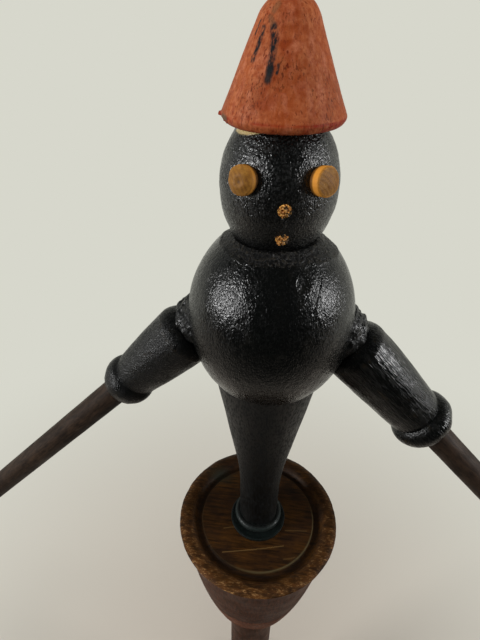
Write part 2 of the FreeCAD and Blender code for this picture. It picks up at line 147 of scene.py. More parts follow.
def lumps(points, size, seed, stretch=EVEN):
    """Seeded smooth relief, about -1 to 1, with lumps of a size. Points are n by 3."""
    draw = np.random.default_rng(seed)
    waves = 28
    spots = points / np.array(stretch)
    total = np.zeros(len(points))
    for _ in range(waves):
        way = draw.normal(size=3)
        way *= 2 * math.pi * draw.uniform(0.5, 1.4) / (size * np.linalg.norm(way))
        total += np.cos(spots @ way + draw.uniform(0, 2 * math.pi))
    return total / math.sqrt(waves)


def spokes(count, focus=()):
    """Angles about the axis, closer together near each bearing in focus: (bearing, width, gain)."""
    fine = np.linspace(-math.pi, math.pi, 7201)
    density = np.ones_like(fine)
    for degrees, width, gain in focus:
        away = (fine - bearing(degrees) + math.pi) % (2 * math.pi) - math.pi
        density += gain * ridge(away, math.radians(width))
    share = np.concatenate([[0], np.cumsum((density[1:] + density[:-1]) / 2)])
    return np.interp(np.arange(count) / count, share / share[-1], fine)


class Outline:
    """Half outline of a turned piece, as radii and heights, with the wood on the left of its run."""

    def __init__(self, radius, height, step):
        self.points = [(radius, height)]
        self.step = step

    def line(self, radius, height, coarse=False):
        start = np.array(self.points[-1])
        run = np.array([radius, height]) - start
        count = 1 if coarse else max(1, round(np.linalg.norm(run) / self.step))
        self.points += [tuple(start + run * i / count) for i in range(1, count + 1)]
        return self

    def about(self, radius, height, degrees):
        """Arc about a centre, turning left by the angle."""
        centre = np.array([radius, height])
        across, up = np.array(self.points[-1]) - centre
        whole = math.radians(degrees)
        count = max(2, round(abs(whole) * math.hypot(across, up) / self.step))
        for i in range(1, count + 1):
            cosine, sine = math.cos(whole * i / count), math.sin(whole * i / count)
            turned = (across * cosine - up * sine, across * sine + up * cosine)
            self.points.append(tuple(centre + turned))
        return self

    def bow(self, radius, height, bulge):
        """Arc that stands off its chord by the bulge, to the right of the way it runs."""
        start = np.array(self.points[-1])
        run = np.array([radius, height]) - start
        half = 2 * math.atan(2 * bulge / np.linalg.norm(run))
        aside = np.array([run[1], -run[0]]) / (2 * math.tan(half))
        return self.about(*(start + run / 2 - aside), math.degrees(2 * half))

    def egg(self, centre, radius, half_height, height):
        """Stretch of an ellipse about the axis, from here to a height."""
        start, end = (math.asin(np.clip((at - centre) / half_height, -1, 1))
                      for at in (self.points[-1][1], height))
        count = max(2, round(abs(end - start) * (radius + half_height) / 2 / self.step))
        turns = start + (end - start) * np.arange(1, count + 1) / count
        self.points += zip(radius * np.cos(turns), centre + half_height * np.sin(turns))
        return self

    def through(self, knots):
        """Smooth curve through the knots, which start here."""
        radii, heights = np.array(knots).T
        slopes = np.gradient(radii, heights)
        slopes[0] = slopes[-1] = 0
        for i, rise in enumerate(np.diff(heights)):
            count = max(2, round(rise / self.step))
            t = np.arange(1, count + 1) / count
            later = 3 * t ** 2 - 2 * t ** 3
            curve = (1 - later) * radii[i] + later * radii[i + 1]
            curve += rise * ((t ** 3 - 2 * t ** 2 + t) * slopes[i] + (t ** 3 - t ** 2) * slopes[i + 1])
            self.points += zip(curve, heights[i] + rise * t)
        return self

    def to_axis(self, radius, end):
        """Wall to an end face, and that face in to the axis."""
        return self.line(radius, end, True).line(0, end, True)


def from_axis(radius, end, seat, step):
    """Starts an outline at the axis, with an end face and a wall from there to the seat."""
    return Outline(0, end, step).line(radius, end, True).line(radius, seat, True)


def egg_at(centre, radius, half_height, height):
    return radius * math.sqrt(1 - ((height - centre) / half_height) ** 2)


class Turned:
    """The grid of points of a turned piece, spun from its outline and then marked and worn."""

    def __init__(self, outline, angles):
        points = np.array(outline.points)
        self.closed = points[0, 0] > 1e-6
        run = np.gradient(points, axis=0)
        run /= np.linalg.norm(run, axis=1)[:, None] + 1e-12
        self.shape = (len(points), len(angles))
        self.angle = np.broadcast_to(angles, self.shape).ravel()
        self.radius = np.repeat(points[:, 0], len(angles))
        self.height = np.repeat(points[:, 1], len(angles))
        out, up = np.repeat(run[:, 1], len(angles)), np.repeat(-run[:, 0], len(angles))
        self.points = self.around(self.radius, self.height)
        self.normals = self.around(out, up)
        self.rise = np.zeros(len(self.points))
        self.marks = {}

    def around(self, radius, height):
        return np.stack([radius * np.cos(self.angle), radius * np.sin(self.angle), height], axis=1)

    def aside(self, degrees):
        """How far each point lies round the piece from a bearing, in metres."""
        away = (self.angle - bearing(degrees) + math.pi) % (2 * math.pi) - math.pi
        return away * self.radius

    def near(self, route, width):
        """1 on a route of (bearing, millimetres above the platform), 0 beyond the width from it."""
        best = np.full(len(self.points), np.inf)
        for (turn_a, above_a), (turn_b, above_b) in zip(route[:-1], route[1:]):
            across, up = self.aside(turn_a), self.height - FACE - above_a * MM
            run_across = math.radians(turn_b - turn_a) * self.radius
            best = np.minimum(best, off_line(across, up, run_across, (above_b - above_a) * MM))
        return 1 - smooth(best, width * MM * 0.3, width * MM)

    def roughen(self, where, size, seed, depth, stretch=EVEN):
        self.rise += where * lumps(self.points, size, seed, stretch) * depth

    def mesh(self, name):
        """The finished mesh, with closed poles or, on a ring, a closed section."""
        rows, columns = self.shape
        grid = np.arange(rows * columns).reshape(self.shape)
        following = np.roll(grid, -1, axis=1)
        last = rows if self.closed else rows - 1
        upper = np.roll(grid, -1, axis=0)[:last]
        upper_next = np.roll(following, -1, axis=0)[:last]
        faces = np.stack([grid[:last], following[:last], upper_next, upper], axis=-1)
        if self.closed:
            quads = faces.reshape(-1, 4).tolist()
        else:
            grid[0], grid[-1] = grid[0, 0], grid[-1, 0]
            quads = faces[1:-1].reshape(-1, 4).tolist()
            quads += [(grid[0, 0], b, a) for a, b in zip(grid[1], following[1])]
            quads += [(grid[-1, 0], a, b) for a, b in zip(grid[-2], following[-2])]
        places = self.points + self.normals * self.rise[:, None]
        used = np.unique(np.concatenate([np.ravel(q) for q in quads]))
        number = np.zeros(len(places), int)
        number[used] = np.arange(len(used))
        mesh = bpy.data.meshes.new(name)
        mesh.from_pydata(places[used].tolist(), [], [number[list(q)].tolist() for q in quads])
        turned = mesh.attributes.new("turned", "FLOAT_VECTOR", "POINT")
        turned.data.foreach_set("vector", self.points[used].astype(np.float32).ravel())
        for mark, values in self.marks.items():
            store = mesh.attributes.new(mark, "FLOAT", "POINT")
            store.data.foreach_set("value", values[used].astype(np.float32))
        return mesh


def finished(name, mesh, finish, place=None):
    """Adds a mesh to the scene as a piece with its finish, its place in its mesh."""
    if place is not None:
        mesh.transform(place)
    mesh.materials.clear()
    mesh.materials.append(finish)
    mesh.shade_smooth()
    mesh.set_sharp_from_angle(angle=SHARP_EDGE)
    piece = bpy.data.objects.new(name, mesh)
    bpy.context.scene.collection.objects.link(piece)
    return piece


def fitted(name, mesh, finish, slot, *nodes, body="figure", place=None):
    """Adds a mesh as a piece that is fixed to its body, in the place of its nodes."""
    piece = finished(name, mesh, finish, place)
    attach(piece, body)
    if nodes:
        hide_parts(*nodes)


# Geometry node trees
def new_tree(name, inputs):
    """A geometry tree with named inputs, its group input and its output."""
    tree = bpy.data.node_groups.new(name, "GeometryNodeTree")
    tree.interface.new_socket("Geometry", in_out="INPUT", socket_type="NodeSocketGeometry")
    for label, kind in inputs:
        tree.interface.new_socket(label, in_out="INPUT", socket_type="NodeSocket" + kind)
    tree.interface.new_socket("Geometry", in_out="OUTPUT", socket_type="NodeSocketGeometry")
    return tree, add(tree, "NodeGroupInput")


def end_tree(tree, entry, geometry):
    """Ends a tree: its shapes are made real and get the material."""
    real = add(tree, "GeometryNodeRealizeInstances", links={"Geometry": geometry})
    painted = add(tree, "GeometryNodeSetMaterial", links={
        "Geometry": real, "Material": (entry, "Material")})
    add(tree, "NodeGroupOutput", links={"Geometry": painted})


def grown(tree, base, values):
    """Runs a tree on a mesh, and returns the result as a plain mesh."""
    holder = bpy.data.objects.new(tree.name + "_base", base)
    bpy.context.scene.collection.objects.link(holder)
    modifier = holder.modifiers.new(tree.name, "NODES")
    modifier.node_group = tree
    for item in tree.interface.items_tree:
        if item.item_type == "SOCKET" and item.in_out == "INPUT" and item.name in values:
            modifier[item.identifier] = values[item.name]
    graph = bpy.context.evaluated_depsgraph_get()
    result = bpy.data.meshes.new_from_object(
        holder.evaluated_get(graph), preserve_all_data_layers=True, depsgraph=graph)
    holder.modifiers.remove(modifier)
    bpy.data.objects.remove(holder)
    return result


def turning_tree():
    """Spins an outline about Z, and cuts the fine lines that the tool leaves."""
    tree, entry = new_tree("Turning", [
        ("Sides", "Int"), ("Line Spacing", "Float"), ("Line Depth", "Float"), ("Seed", "Int"),
        ("Material", "Material")])
    outline = add(tree, "GeometryNodeMeshToCurve", links={"Mesh": (entry, "Geometry")})
    circle = add(tree, "GeometryNodeCurvePrimitiveCircle", links={
        "Resolution": (entry, "Sides"), "Radius": SPIN_RADIUS})
    spun = add(tree, "GeometryNodeCurveToMesh", links={
        "Curve": circle, "Profile Curve": outline})
    whole = add(tree, "GeometryNodeMergeByDistance", links={
        "Geometry": spun, "Distance": 0.002 * MM})
    place = add(tree, "GeometryNodeInputPosition")
    kept = add(tree, "GeometryNodeStoreNamedAttribute", {"data_type": "FLOAT_VECTOR"}, {
        "Geometry": whole, "Name": "turned", "Value": place})
    height = add(tree, "ShaderNodeSeparateXYZ", links={"Vector": place})
    lines = add(tree, "ShaderNodeMath", {"operation": "DIVIDE"}, {
        0: (height, "Z"), 1: (entry, "Line Spacing")})
    shift = add(tree, "ShaderNodeMath", {"operation": "ADD"}, {0: lines, 1: (entry, "Seed")})
    cut = add(tree, "ShaderNodeTexNoise", {"noise_dimensions": "1D"}, {
        "W": shift, "Scale": 1.0, "Detail": 2.0})
    level = add(tree, "ShaderNodeMapRange", links={
        "Value": cut, "From Min": 0.35, "From Max": 0.65, "To Min": -1.0, "To Max": 0.0})
    depth = add(tree, "ShaderNodeMath", TIMES, {
        0: level, 1: (entry, "Line Depth")})
    normal = add(tree, "GeometryNodeInputNormal")
    offset = add(tree, "ShaderNodeVectorMath", {"operation": "SCALE"}, {
        "Vector": normal, "Scale": depth})
    moved = add(tree, "GeometryNodeSetPosition", links={"Geometry": kept, "Offset": offset})
    end_tree(tree, entry, moved)
    return tree


def scatter_tree():
    """Strews small crumbs or fibres over the marked part of a surface."""
    tree, entry = new_tree("Scatter", [
        ("Density", "Float"), ("Seed", "Int"), ("Smallest", "Float"), ("Largest", "Float"),
        ("Length", "Float"), ("Lean", "Float"), ("Material", "Material")])
    mark = add(tree, "GeometryNodeInputNamedAttribute", {"data_type": "FLOAT"}, {"Name": "strewn"})
    amount = add(tree, "ShaderNodeMath", TIMES, {
        0: mark, 1: (entry, "Density")})
    spots = add(tree, "GeometryNodeDistributePointsOnFaces", links={
        "Mesh": (entry, "Geometry"), "Density": amount, "Seed": (entry, "Seed")})
    lump = add(tree, "GeometryNodeMeshIcoSphere", links={"Radius": 1.0, "Subdivisions": 2})
    grit = add(tree, "ShaderNodeTexNoise", links={"Scale": 1.3, "Detail": 1.0})
    centred = add(tree, "ShaderNodeVectorMath", MINUS, {
        0: (grit, "Color"), 1: (0.5, 0.5, 0.5)})
    rough = add(tree, "GeometryNodeSetPosition", links={"Geometry": lump, "Offset": centred})
    tilt = add(tree, "FunctionNodeRandomValue", {"data_type": "FLOAT_VECTOR"}, {
        "Min": (-1, -1, -math.pi), "Max": (1, 1, math.pi), "Seed": (entry, "Seed")})
    lean = add(tree, "ShaderNodeCombineXYZ", links={
        "X": (entry, "Lean"), "Y": (entry, "Lean"), "Z": 1.0})
    leaning = add(tree, "ShaderNodeVectorMath", TIMES, {0: tilt, 1: lean})
    euler = add(tree, "FunctionNodeEulerToRotation", links={"Euler": leaning})
    turned = add(tree, "FunctionNodeRotateRotation", {"rotation_space": "LOCAL"}, {
        "Rotation": (spots, "Rotation"), "Rotate By": euler})
    size = add(tree, "FunctionNodeRandomValue", {"data_type": "FLOAT"}, {
        "Min": (entry, "Smallest"), "Max": (entry, "Largest"), "Seed": (entry, "Seed")})
    long = add(tree, "ShaderNodeCombineXYZ", links={"X": 1.0, "Y": 1.0, "Z": (entry, "Length")})
    scale = add(tree, "ShaderNodeVectorMath", {"operation": "SCALE"}, {
        "Vector": long, "Scale": size})
    strewn = add(tree, "GeometryNodeInstanceOnPoints", links={
        "Points": spots, "Instance": rough, "Rotation": turned, "Scale": scale})
    end_tree(tree, entry, strewn)
    return tree


def line_mesh(outline):
    """The outline as a chain of edges, drawn as the turning tree needs it to spin it."""
    mesh = bpy.data.meshes.new("outline")
    points = [(radius - SPIN_RADIUS, -height, 0) for radius, height in reversed(outline.points)]
    edges = [(i, i + 1) for i in range(len(points) - 1)]
    if outline.points[0][0] > 0:
        edges.append((len(points) - 1, 0))
    mesh.from_pydata(points, edges, [])
    return mesh


# Settings that a user would change
def size(name, description, millimetres):
    return bpy.props.FloatProperty(
        name=name, description=description, default=millimetres * MM, unit="LENGTH",
        subtype="DISTANCE", precision=5)


def number(name, description, default):
    return bpy.props.FloatProperty(name=name, description=description, default=default)


def angle(name, description, degrees):
    return bpy.props.FloatProperty(
        name=name, description=description, default=math.radians(degrees), subtype="ANGLE")


def tint(name, description, code):
    return bpy.props.FloatVectorProperty(
        name=name, description=description, default=shade(code), size=4, min=0, max=1,
        subtype="COLOR")


class StageSettings(bpy.types.PropertyGroup):
    camera_x: size("Camera X", "Camera's place along the arms", 3.02)
    camera_y: size("Camera Y", "Camera's place in front of the figure", -92.09)
    camera_z: size("Camera Height", "Camera's height above the ground", 414.14)
    tilt: angle("Camera Tilt", "Angle of the view from straight down", 54.1)
    heading: angle("Camera Heading", "Turn of the view about the upright", 6.58)
    roll: angle("Camera Roll", "Turn of the view about its own line", 0.87)
    lens: number("Lens", "Focal length in millimetres on a 36 mm sensor", 25.48)
    near_colour: tint("Near Colour", "Floor under the stand", "#cbc1b4")
    far_colour: tint("Far Colour", "Backdrop behind the figure", "#d7d7cc")
    front_colour: tint("Front Colour", "Floor well in front of the stand", "#3e3b37")


class StandSettings(bpy.types.PropertyGroup):
    base_edge: size("Base Edge", "Thickness of the base at its edge", 7.0)
    base_round: size("Base Round", "Rounding of the base's edge", 1.5)
    base_boss: size("Base Boss", "Radius of the boss under the stem", 19.0)
    base_hollow: size("Base Hollow", "Depth of the hollow in the base's top", 1.6)
    stem_radius: size("Stem Radius", "Radius of the stem under the band", 9.5)
    waist: size("Stem Waist", "Radius of the stem at its slimmest", 8.2)
    ring: size("Stem Ring", "Radius of the stem's two rings", 12.2)
    ring_height: size("Ring Height", "Height of each ring", 6.0)
    flare_height: size("Flare Height", "Height of the flared foot", 17.0)
    flare_hollow: size("Flare Hollow", "Depth of the flare's hollow", 1.8)
    vase: size("Vase Radius", "Fullest radius of the vase", 15.0)
    vase_height: size("Vase Height", "Height of the vase", 84.0)
    vase_belly: size("Vase Belly", "Height of the fullest section in the vase", 26.0)
    bell_radius: size("Bell Radius", "Radius of the curve of the bell", 27.7)
    bell_half: size("Bell Half Height", "Half height of the curve of the bell", 110.9)
    bell_rise: size("Bell Rise", "Centre of that curve above the platform", 33.7)
    band_round: size("Band Round", "Rounding under the band", 2.4)
    stem_wood: tint("Stem Wood", "Reddish brown stain", "#4a2a19")
    bell_wood: tint("Bell Wood", "Purplish brown stain", "#5f3520")
    band_wood: tint("Band Wood", "Orange brown stain", "#7a4630")


class PlatformSettings(bpy.types.PropertyGroup):
    face: size("Face Radius", "Radius of the flat face", 19.9)
    groove: size("Groove Width", "Width of the hollow round the face", 2.7)
    hollow: size("Groove Hollow", "Depth of the hollow", 1.0)
    drop: size("Groove Drop", "Outer edge of the hollow below the face", 0.5)
    crown: size("Rim Crown", "Height of the rounded rim over its chord", 1.15)
    edge_rise: size("Edge Rise", "Outer edge of the rim above the face", 0.2)
    undercut: size("Undercut", "How far the rim's side leans in", 1.1)
    edge_drop: size("Edge Drop", "Lower edge of the rim below the face", 2.0)
    lip: size("Ring Lip", "Width of the lip of the ring round the foot", 0.65)
    ring_floor: size("Ring Floor", "Thickness of the ring's floor", 0.5)
    wood: tint("Wood", "Dark polished wood", "#331e0d")
    worn: tint("Worn Wood", "Wood where the stain is rubbed off", "#ab8454")


class LegSettings(bpy.types.PropertyGroup):
    top_radius: size("Top Radius", "Radius of the leg under the torso", 14.2)
    taper: number("Taper", "Radius lost for each unit down", 0.166)
    ankle: size("Ankle Radius", "Radius of the ankle", 6.5)
    blend: size("Ankle Blend", "Length of the curve each side of the ankle's corner", 10.0)
    bead: size("Bead Radius", "Radius to the middle of the foot's bead", 6.9)
    bead_round: size("Bead Round", "Radius of the bead's section", 1.3)
    seam: size("Seam", "Depth of the cut under the torso", 0.45)


class TorsoSettings(bpy.types.PropertyGroup):
    half_height: size("Half Height", "Half height of the torso's egg", 24.7)
    waist: size("Waist", "Widest section above the torso's foot", 16.8)
    grain: size("Grain", "Size of the specks in the lacquer", 0.36)
    collar_foot: size("Collar Foot", "Lower edge of the rough collar above the platform", 109.4)
    collar_fall: size("Collar Fall", "How much lower that edge is on the right", 2.2)
    collar_depth: size("Collar Depth", "How far the rough collar lies below its edge", 0.16)
    dent_bearing: number("Dent Bearing", "Bearing of the dent", 26.5)
    dent_height: size("Dent Height", "Height of the dent above the platform", 106.6)
    crack_width: size("Crack Width", "Half the width of the crack", 0.15)


class HeadSettings(bpy.types.PropertyGroup):
    half_height: size("Half Height", "Half height of the head's egg", 15.8)
    waist: size("Waist", "Widest section above the head's foot", 10.75)
    grain: size("Grain", "Size of the specks in the paint", 0.34)
    turn: number("Face Turn", "Bearing of the middle of the face", 6.5)
    eye_spread: number("Eye Spread", "Degrees from the middle of the face to each eye", 37.0)
    eye_height: size("Eye Height", "Eyes above the head's foot", 14.7)
    eye_tilt: number("Eye Tilt", "Degrees that the eyes look up", 12.0)
    eye_radius: size("Eye Radius", "Radius of each eye peg", 2.8)
    eye_depth: size("Eye Depth", "Length of an eye peg inside the head", 5.0)
    left_proud: size("Left Eye Proud", "How far the side of the left eye stands out", 1.3)
    left_crown: size("Left Eye Crown", "Height of the left eye's dome", 1.1)
    right_proud: size("Right Eye Proud", "How far the side of the right eye stands out", 1.7)
    right_crown: size("Right Eye Crown", "Height of the right eye's dome", 0.35)
    peg_turn: number("Peg Turn", "Degrees from the middle of the face to the small pegs", 2.0)
    nose_height: size("Nose Height", "Nose peg above the head's foot", 10.0)
    mouth_height: size("Mouth Height", "Mouth peg above the head's foot", 3.8)
    peg_radius: size("Peg Radius", "Radius of the nose and mouth pegs", 1.25)
    peg_depth: size("Peg Depth", "Length of a small peg inside the head", 4.0)
    peg_proud: size("Peg Proud", "How far a small peg stands out", 0.3)
    eye_wood: tint("Eye Wood", "Bare wood of the eyes", "#875b24")


class HatSettings(bpy.types.PropertyGroup):
    rim_round: size("Rim Round", "Rounding of the rim", 1.5)
    taper: number("Taper", "Radius lost for each unit up", 0.43)
    paint: tint("Paint", "Orange-brown paint", "#a04e26")
    dark_paint: tint("Dark Paint", "Red paint where it is thick", "#873614")
    thin_paint: tint("Thin Paint", "Paint where it is rubbed thin", "#bb7048")
    scuff: tint("Scuff", "Black marks", "#1b1c1e")


class ArmSettings(bpy.types.PropertyGroup):
    rod: size("Rod Radius", "Radius of the arm rods", 4.0)
    shoulder: size("Shoulder Radius", "Radius of the shoulder at the torso", 7.2)
    shoulder_neck: size("Shoulder Neck", "Radius of the shoulder at the sleeve", 6.3)
    shoulder_bulge: size("Shoulder Bulge", "Roundness of the shoulder", 0.3)
    sleeve_round: size("Sleeve Round", "Length of the sleeve's rounded top", 3.4)
    sleeve_bulge: size("Sleeve Bulge", "Roundness of the sleeve's top", 0.45)
    sleeve_top: size("Sleeve Top", "Fullest radius of the sleeve by the shoulder", 8.35)
    left_neck: size("Left Sleeve Neck", "Radius of the left sleeve above the cuff", 6.55)
    left_cuff: size("Left Cuff Radius", "Fullest radius of the left cuff", 7.4)
    right_neck: size("Right Sleeve Neck", "Radius of the right sleeve above the cuff", 7.1)
    right_cuff: size("Right Cuff Radius", "Fullest radius of the right cuff", 8.7)
    cuff_length: size("Cuff Length", "Length of the cuff", 7.4)
    cuff_crown: size("Cuff Crown", "From the neck to the fullest section", 3.2)
    cuff_fall: size("Cuff Fall", "Radius lost from there to the edge of the mouth", 0.85)
    cuff_round: size("Cuff Round", "Length of the rounding at the end", 1.5)
    cuff_bulge: size("Cuff Bulge", "Roundness of that end", 0.35)
    mouth: size("Cuff Mouth", "Radius of the hollow at the rod", 5.0)
    rod_wood: tint("Rod Wood", "Dark brown stain", "#35281e")
    ball_wood: tint("Ball Wood", "Dark brown stain", "#54402f")


# Finishes
def tone(colour):
    """A colour as a socket takes it, from an sRGB hex value, a setting or a node."""
    if isinstance(colour, str):
        return shade(colour)
    return colour if isinstance(colour, bpy.types.Node) else tuple(colour)


class Finish:
    """A material with its node tree and shader. Its patterns lie on the piece's own place."""

    def __init__(self, name, roughness, specular=0.5, place=("Attribute", "Vector")):
        self.material = bpy.data.materials.new(name)
        self.material.use_nodes = True
        self.tree = self.material.node_tree
        self.shader = self.tree.nodes["Principled BSDF"]
        self.shader.inputs["Roughness"].default_value = roughness
        self.shader.inputs["Specular IOR Level"].default_value = specular
        kind, output = place
        settings = {"attribute_name": "turned"} if kind == "Attribute" else {}
        self.place = add(self.tree, "ShaderNode" + kind, settings), output

    def speckle(self, stretch, size, detail=3.0, low=0.35, high=0.65, rough=0.55):
        """Noise with grains of a size, drawn out by the stretch, that runs from 0 to 1."""
        place = add(self.tree, "ShaderNodeMapping", links={
            "Vector": self.place, "Scale": tuple(1 / s for s in stretch)})
        grit = add(self.tree, "ShaderNodeTexNoise", links={
            "Vector": place, "Scale": 1 / size, "Detail": detail, "Roughness": rough})
        return add(self.tree, "ShaderNodeMapRange", links={
            "Value": (grit, "Fac"), "From Min": low, "From Max": high})

    def layered(self, colour, *layers):
        """Lays colours over one another: each by the product of its shares or marks on the mesh."""
        for above, *shares in layers:
            for i, share in enumerate(shares):
                if isinstance(share, str):
                    share = add(self.tree, "ShaderNodeAttribute", {"attribute_name": share}), "Fac"
                whole = add(self.tree, "ShaderNodeMath", TIMES, {0: whole, 1: share}) if i else share
            colour = add(self.tree, "ShaderNodeMix", COLOUR, {
                "Factor": whole, "A": tone(colour), "B": tone(above)})
        return colour

    def paint(self, colour, roughness=None, height=None, depth=0.02 * MM):
        """Links the colour, roughness and relief to the shader, and gives the material."""
        links = {"Base Color": colour, "Roughness": roughness}
        if height is not None:
            links["Normal"] = add(self.tree, "ShaderNodeBump", links={
                "Strength": 1.0, "Distance": depth, "Height": height})
        for socket, node in links.items():
            if node is not None:
                output = next(o for o in node.outputs if o.enabled)
                self.tree.links.new(output, self.shader.inputs[socket])
        return self.material


def black_paint(name, speck, stretch, roughness, depth, worn=None, ragged=(0.52, 0.6),
                collar=False, level=0.35, brushed=0.8, patchy=0.07, pitted=0.25):
    """Brushed black lacquer on turned wood: glossy, with a leathery skin of fine specks."""
    finish = Finish(name, roughness, level)
    tree = finish.tree
    specks = finish.speckle(stretch, speck, 1.0, 0.2, 0.8)
    brush = finish.speckle(stretch, speck * 5, 1.0, 0.25, 0.75)
    dust = finish.speckle(EVEN, 3.5 * MM, 4.0, 0.52, 0.8)
    pits = finish.speckle(stretch, speck * 1.2, 1.0, 0.48, 0.6)
    colour = finish.layered("#040505", ("#0b0c0b", specks), ("#191815", dust, 0.8))
    height = add(tree, "ShaderNodeMath", TIMES_PLUS, {0: brush, 1: brushed, 2: specks})
    gloss = add(tree, "ShaderNodeMapRange", links={
        "Value": brush, "To Min": roughness + patchy, "To Max": roughness - patchy})
    gloss = add(tree, "ShaderNodeMath", TIMES_PLUS, {0: pits, 1: pitted, 2: gloss})
    if worn:
        bits = finish.speckle(stretch, 0.5 * MM, 3.0, *ragged)
        colour = finish.layered(colour, (worn, bits, "worn"))
    if collar:
        crust = finish.speckle(EVEN, 0.55 * MM, 3.0, 0.5, 0.64)
        colour = finish.layered(colour, (finish.layered("#030303", ("#262117", crust)), "collar"))
        there = add(tree, "ShaderNodeAttribute", {"attribute_name": "collar"}), "Fac"
        gloss = add(tree, "ShaderNodeMath", TIMES_PLUS, {0: there, 1: 0.22, 2: gloss})
        raised = add(tree, "ShaderNodeMath", TIMES, {0: crust, 1: there})
        height = add(tree, "ShaderNodeMath", TIMES_PLUS, {0: raised, 1: 2.2, 2: height})
    return finish.paint(colour, gloss, height, depth)


def body_lacquer(props):
    # Lacquer over long grain, so its specks are a little longer than they are wide.
    return black_paint("black_lacquer_on_turned_body", props.grain, (1, 1, 1.7), 0.19, 0.08 * MM,
                       collar=True, level=0.34, pitted=0.16)


def leg_lacquer():
    # The leg is smoother and duller than the body. Its foot is a green-black.
    return black_paint("black_lacquer_on_turned_leg", 0.4 * MM, (1, 1, 3), 0.46, 0.02 * MM,
                       "#1b2220", (0.2, 0.5), level=0.25)


def head_paint(props):
    # Thicker paint, brushed on in dabs, so it is grainy and less glossy.
    return black_paint("grainy_black_paint", props.grain, (1, 1, 1.2), 0.22, 0.1 * MM,
                       "#c9b27c", (0.2, 0.36), level=0.55, brushed=0.4)


def sleeve_lacquer(side):
    # Satin on the left arm. Glossy on the right one, with long brush marks. Worn yellow on edges.
    stretch, roughness, depth = {"left": ((1, 1, 1.5), 0.34, 0.12 * MM),
                                 "right": ((1, 1, 10), 0.2, 0.09 * MM)}[side]
    return black_paint("black_lacquer_on_sleeve_" + side, 0.3 * MM, stretch, roughness, depth,
                       "#6a5430", level=0.29, brushed=0.35, patchy=0.12)


def shoulder_lacquer():
    # Paint and glue laid on in lumps, wet in places.
    return black_paint("lumpy_black_glue_and_paint", 0.35 * MM, EVEN, 0.32, 0.05 * MM, patchy=0.2)


def ring_paint():
    # Black paint with a green cast.
    finish = Finish("green_black_ring_paint", 0.5, 0.3)
    dabs = finish.speckle(EVEN, 0.7 * MM)
    return finish.paint(finish.layered("#060909", ("#131c1a", dabs)), None, dabs, 0.03 * MM)


def hat_paint(props):
    """Thin orange-red paint on turned beech: blotched, with dark red flecks along the grain."""
    finish = Finish("thin_red_paint_on_beech", 0.62, 0.12)
    blotches = finish.speckle((1, 1, 1.6), 3.2 * MM, 4.0, 0.42, 0.66)
    clouds = finish.speckle((1, 1, 1.8), 6.5 * MM, 3.0, 0.46, 0.64)
    streaks = finish.speckle((1, 1, 5), 0.6 * MM, 4.0, 0.36, 0.7)
    thick = finish.speckle((1, 1, 5), 1.1 * MM, 3.0, 0.5, 0.74)
    flecks = finish.speckle((1, 1, 3.4), 0.3 * MM, 1.0, 0.6, 0.67)
    ragged = finish.speckle((1, 1, 4), 0.4 * MM, 4.0, 0.3, 0.54)
    mottle = finish.speckle((1.4, 1.4, 1), 0.7 * MM, 3.0, 0.42, 0.66)
    chalky = finish.speckle((1, 1, 2.6), 1.9 * MM, 4.0, 0.5, 0.66)
    cracks = finish.speckle((1, 1, 6), 0.34 * MM, 2.0, 0.57, 0.64)
    skin = finish.speckle(EVEN, 0.45 * MM)
    colour = finish.layered(
        props.paint,
        (props.thin_paint, streaks, "rubbed"),
        (props.thin_paint, blotches, 0.45),
        ("#87492a", clouds, 0.5),
        ("#bf7556", chalky, 0.6),
        (props.dark_paint, thick, 0.55),
        (props.dark_paint, mottle, 0.55),
        (props.dark_paint, "pooled", 0.9),
        ("#86200c", "line", 0.9),
        ("#66210b", flecks, blotches),
        ("#5a2612", cracks, clouds, 0.9),
        ("#5c4a34", "bruise", 0.9),
        (props.scuff, "scuff", ragged),
        (props.scuff, "blot", 0.95))
    rough = add(finish.tree, "ShaderNodeMapRange", links={
        "Value": skin, "To Min": 0.48, "To Max": 0.64})
    height = add(finish.tree, "ShaderNodeMath", MINUS, {0: streaks, 1: flecks})
    height = add(finish.tree, "ShaderNodeMath", TIMES_PLUS, {0: skin, 1: 0.8, 2: height})
    return finish.paint(colour, rough, height, 0.035 * MM)


def stained_wood(name, middle, dark, light, streak, stretch, roughness, depth):
    """Stained and waxed turned wood, streaked along its grain, with fine dark pores."""
    finish = Finish(name, roughness, 0.13)
    streaks = finish.speckle(stretch, streak, 5.0, 0.3, 0.7, 0.62)
    pores = finish.speckle(stretch, streak * 0.3, 1.0, 0.58, 0.7)
    clouds = finish.speckle(EVEN, 7 * MM)
    colour = finish.layered(
        dark, (middle, streaks), (light, streaks, clouds, 0.6), (dark, pores, 0.7))
    height = add(finish.tree, "ShaderNodeMath", MINUS, {0: streaks, 1: pores})
    gloss = add(finish.tree, "ShaderNodeMapRange", links={
        "Value": clouds, "To Min": roughness + 0.08, "To Max": roughness - 0.06})
    finish.paint(colour, gloss, height, depth)
    return finish, colour


def platform_wood(props):
    """Dark polished wood with its grain across the disc, rubbed golden on its edges. The groove gets
    painted shade, and the arris a pale burnished line with a painted highlight that grows towards the
    right.
    """
    finish, colour = stained_wood("dark_polished_disc_wood", props.wood, "#120a04", "#583812",
                                  0.9 * MM, (9, 1, 1), 0.52, 0.02 * MM)
    patches = finish.speckle((2.2, 1, 1), 1.8 * MM, 4.0, 0.38, 0.66)
    flecks = finish.speckle((3, 1, 1), 0.45 * MM, 5.0, 0.52, 0.64, 0.7)
    return finish.paint(finish.layered(
        colour,
        ("#593617", "worn", patches),
        (props.worn, "worn", flecks, patches),
        # Pale arris: burnished wood, with a painted highlight that is stronger towards the right.
        ("#6e6244", "arris"),
        ("#2b2c20", "stain", 0.8),
        # Painted shade in the groove round the face.
        ("#140c07", "grime", 0.85),
        ("#7c6038", "scratch")))


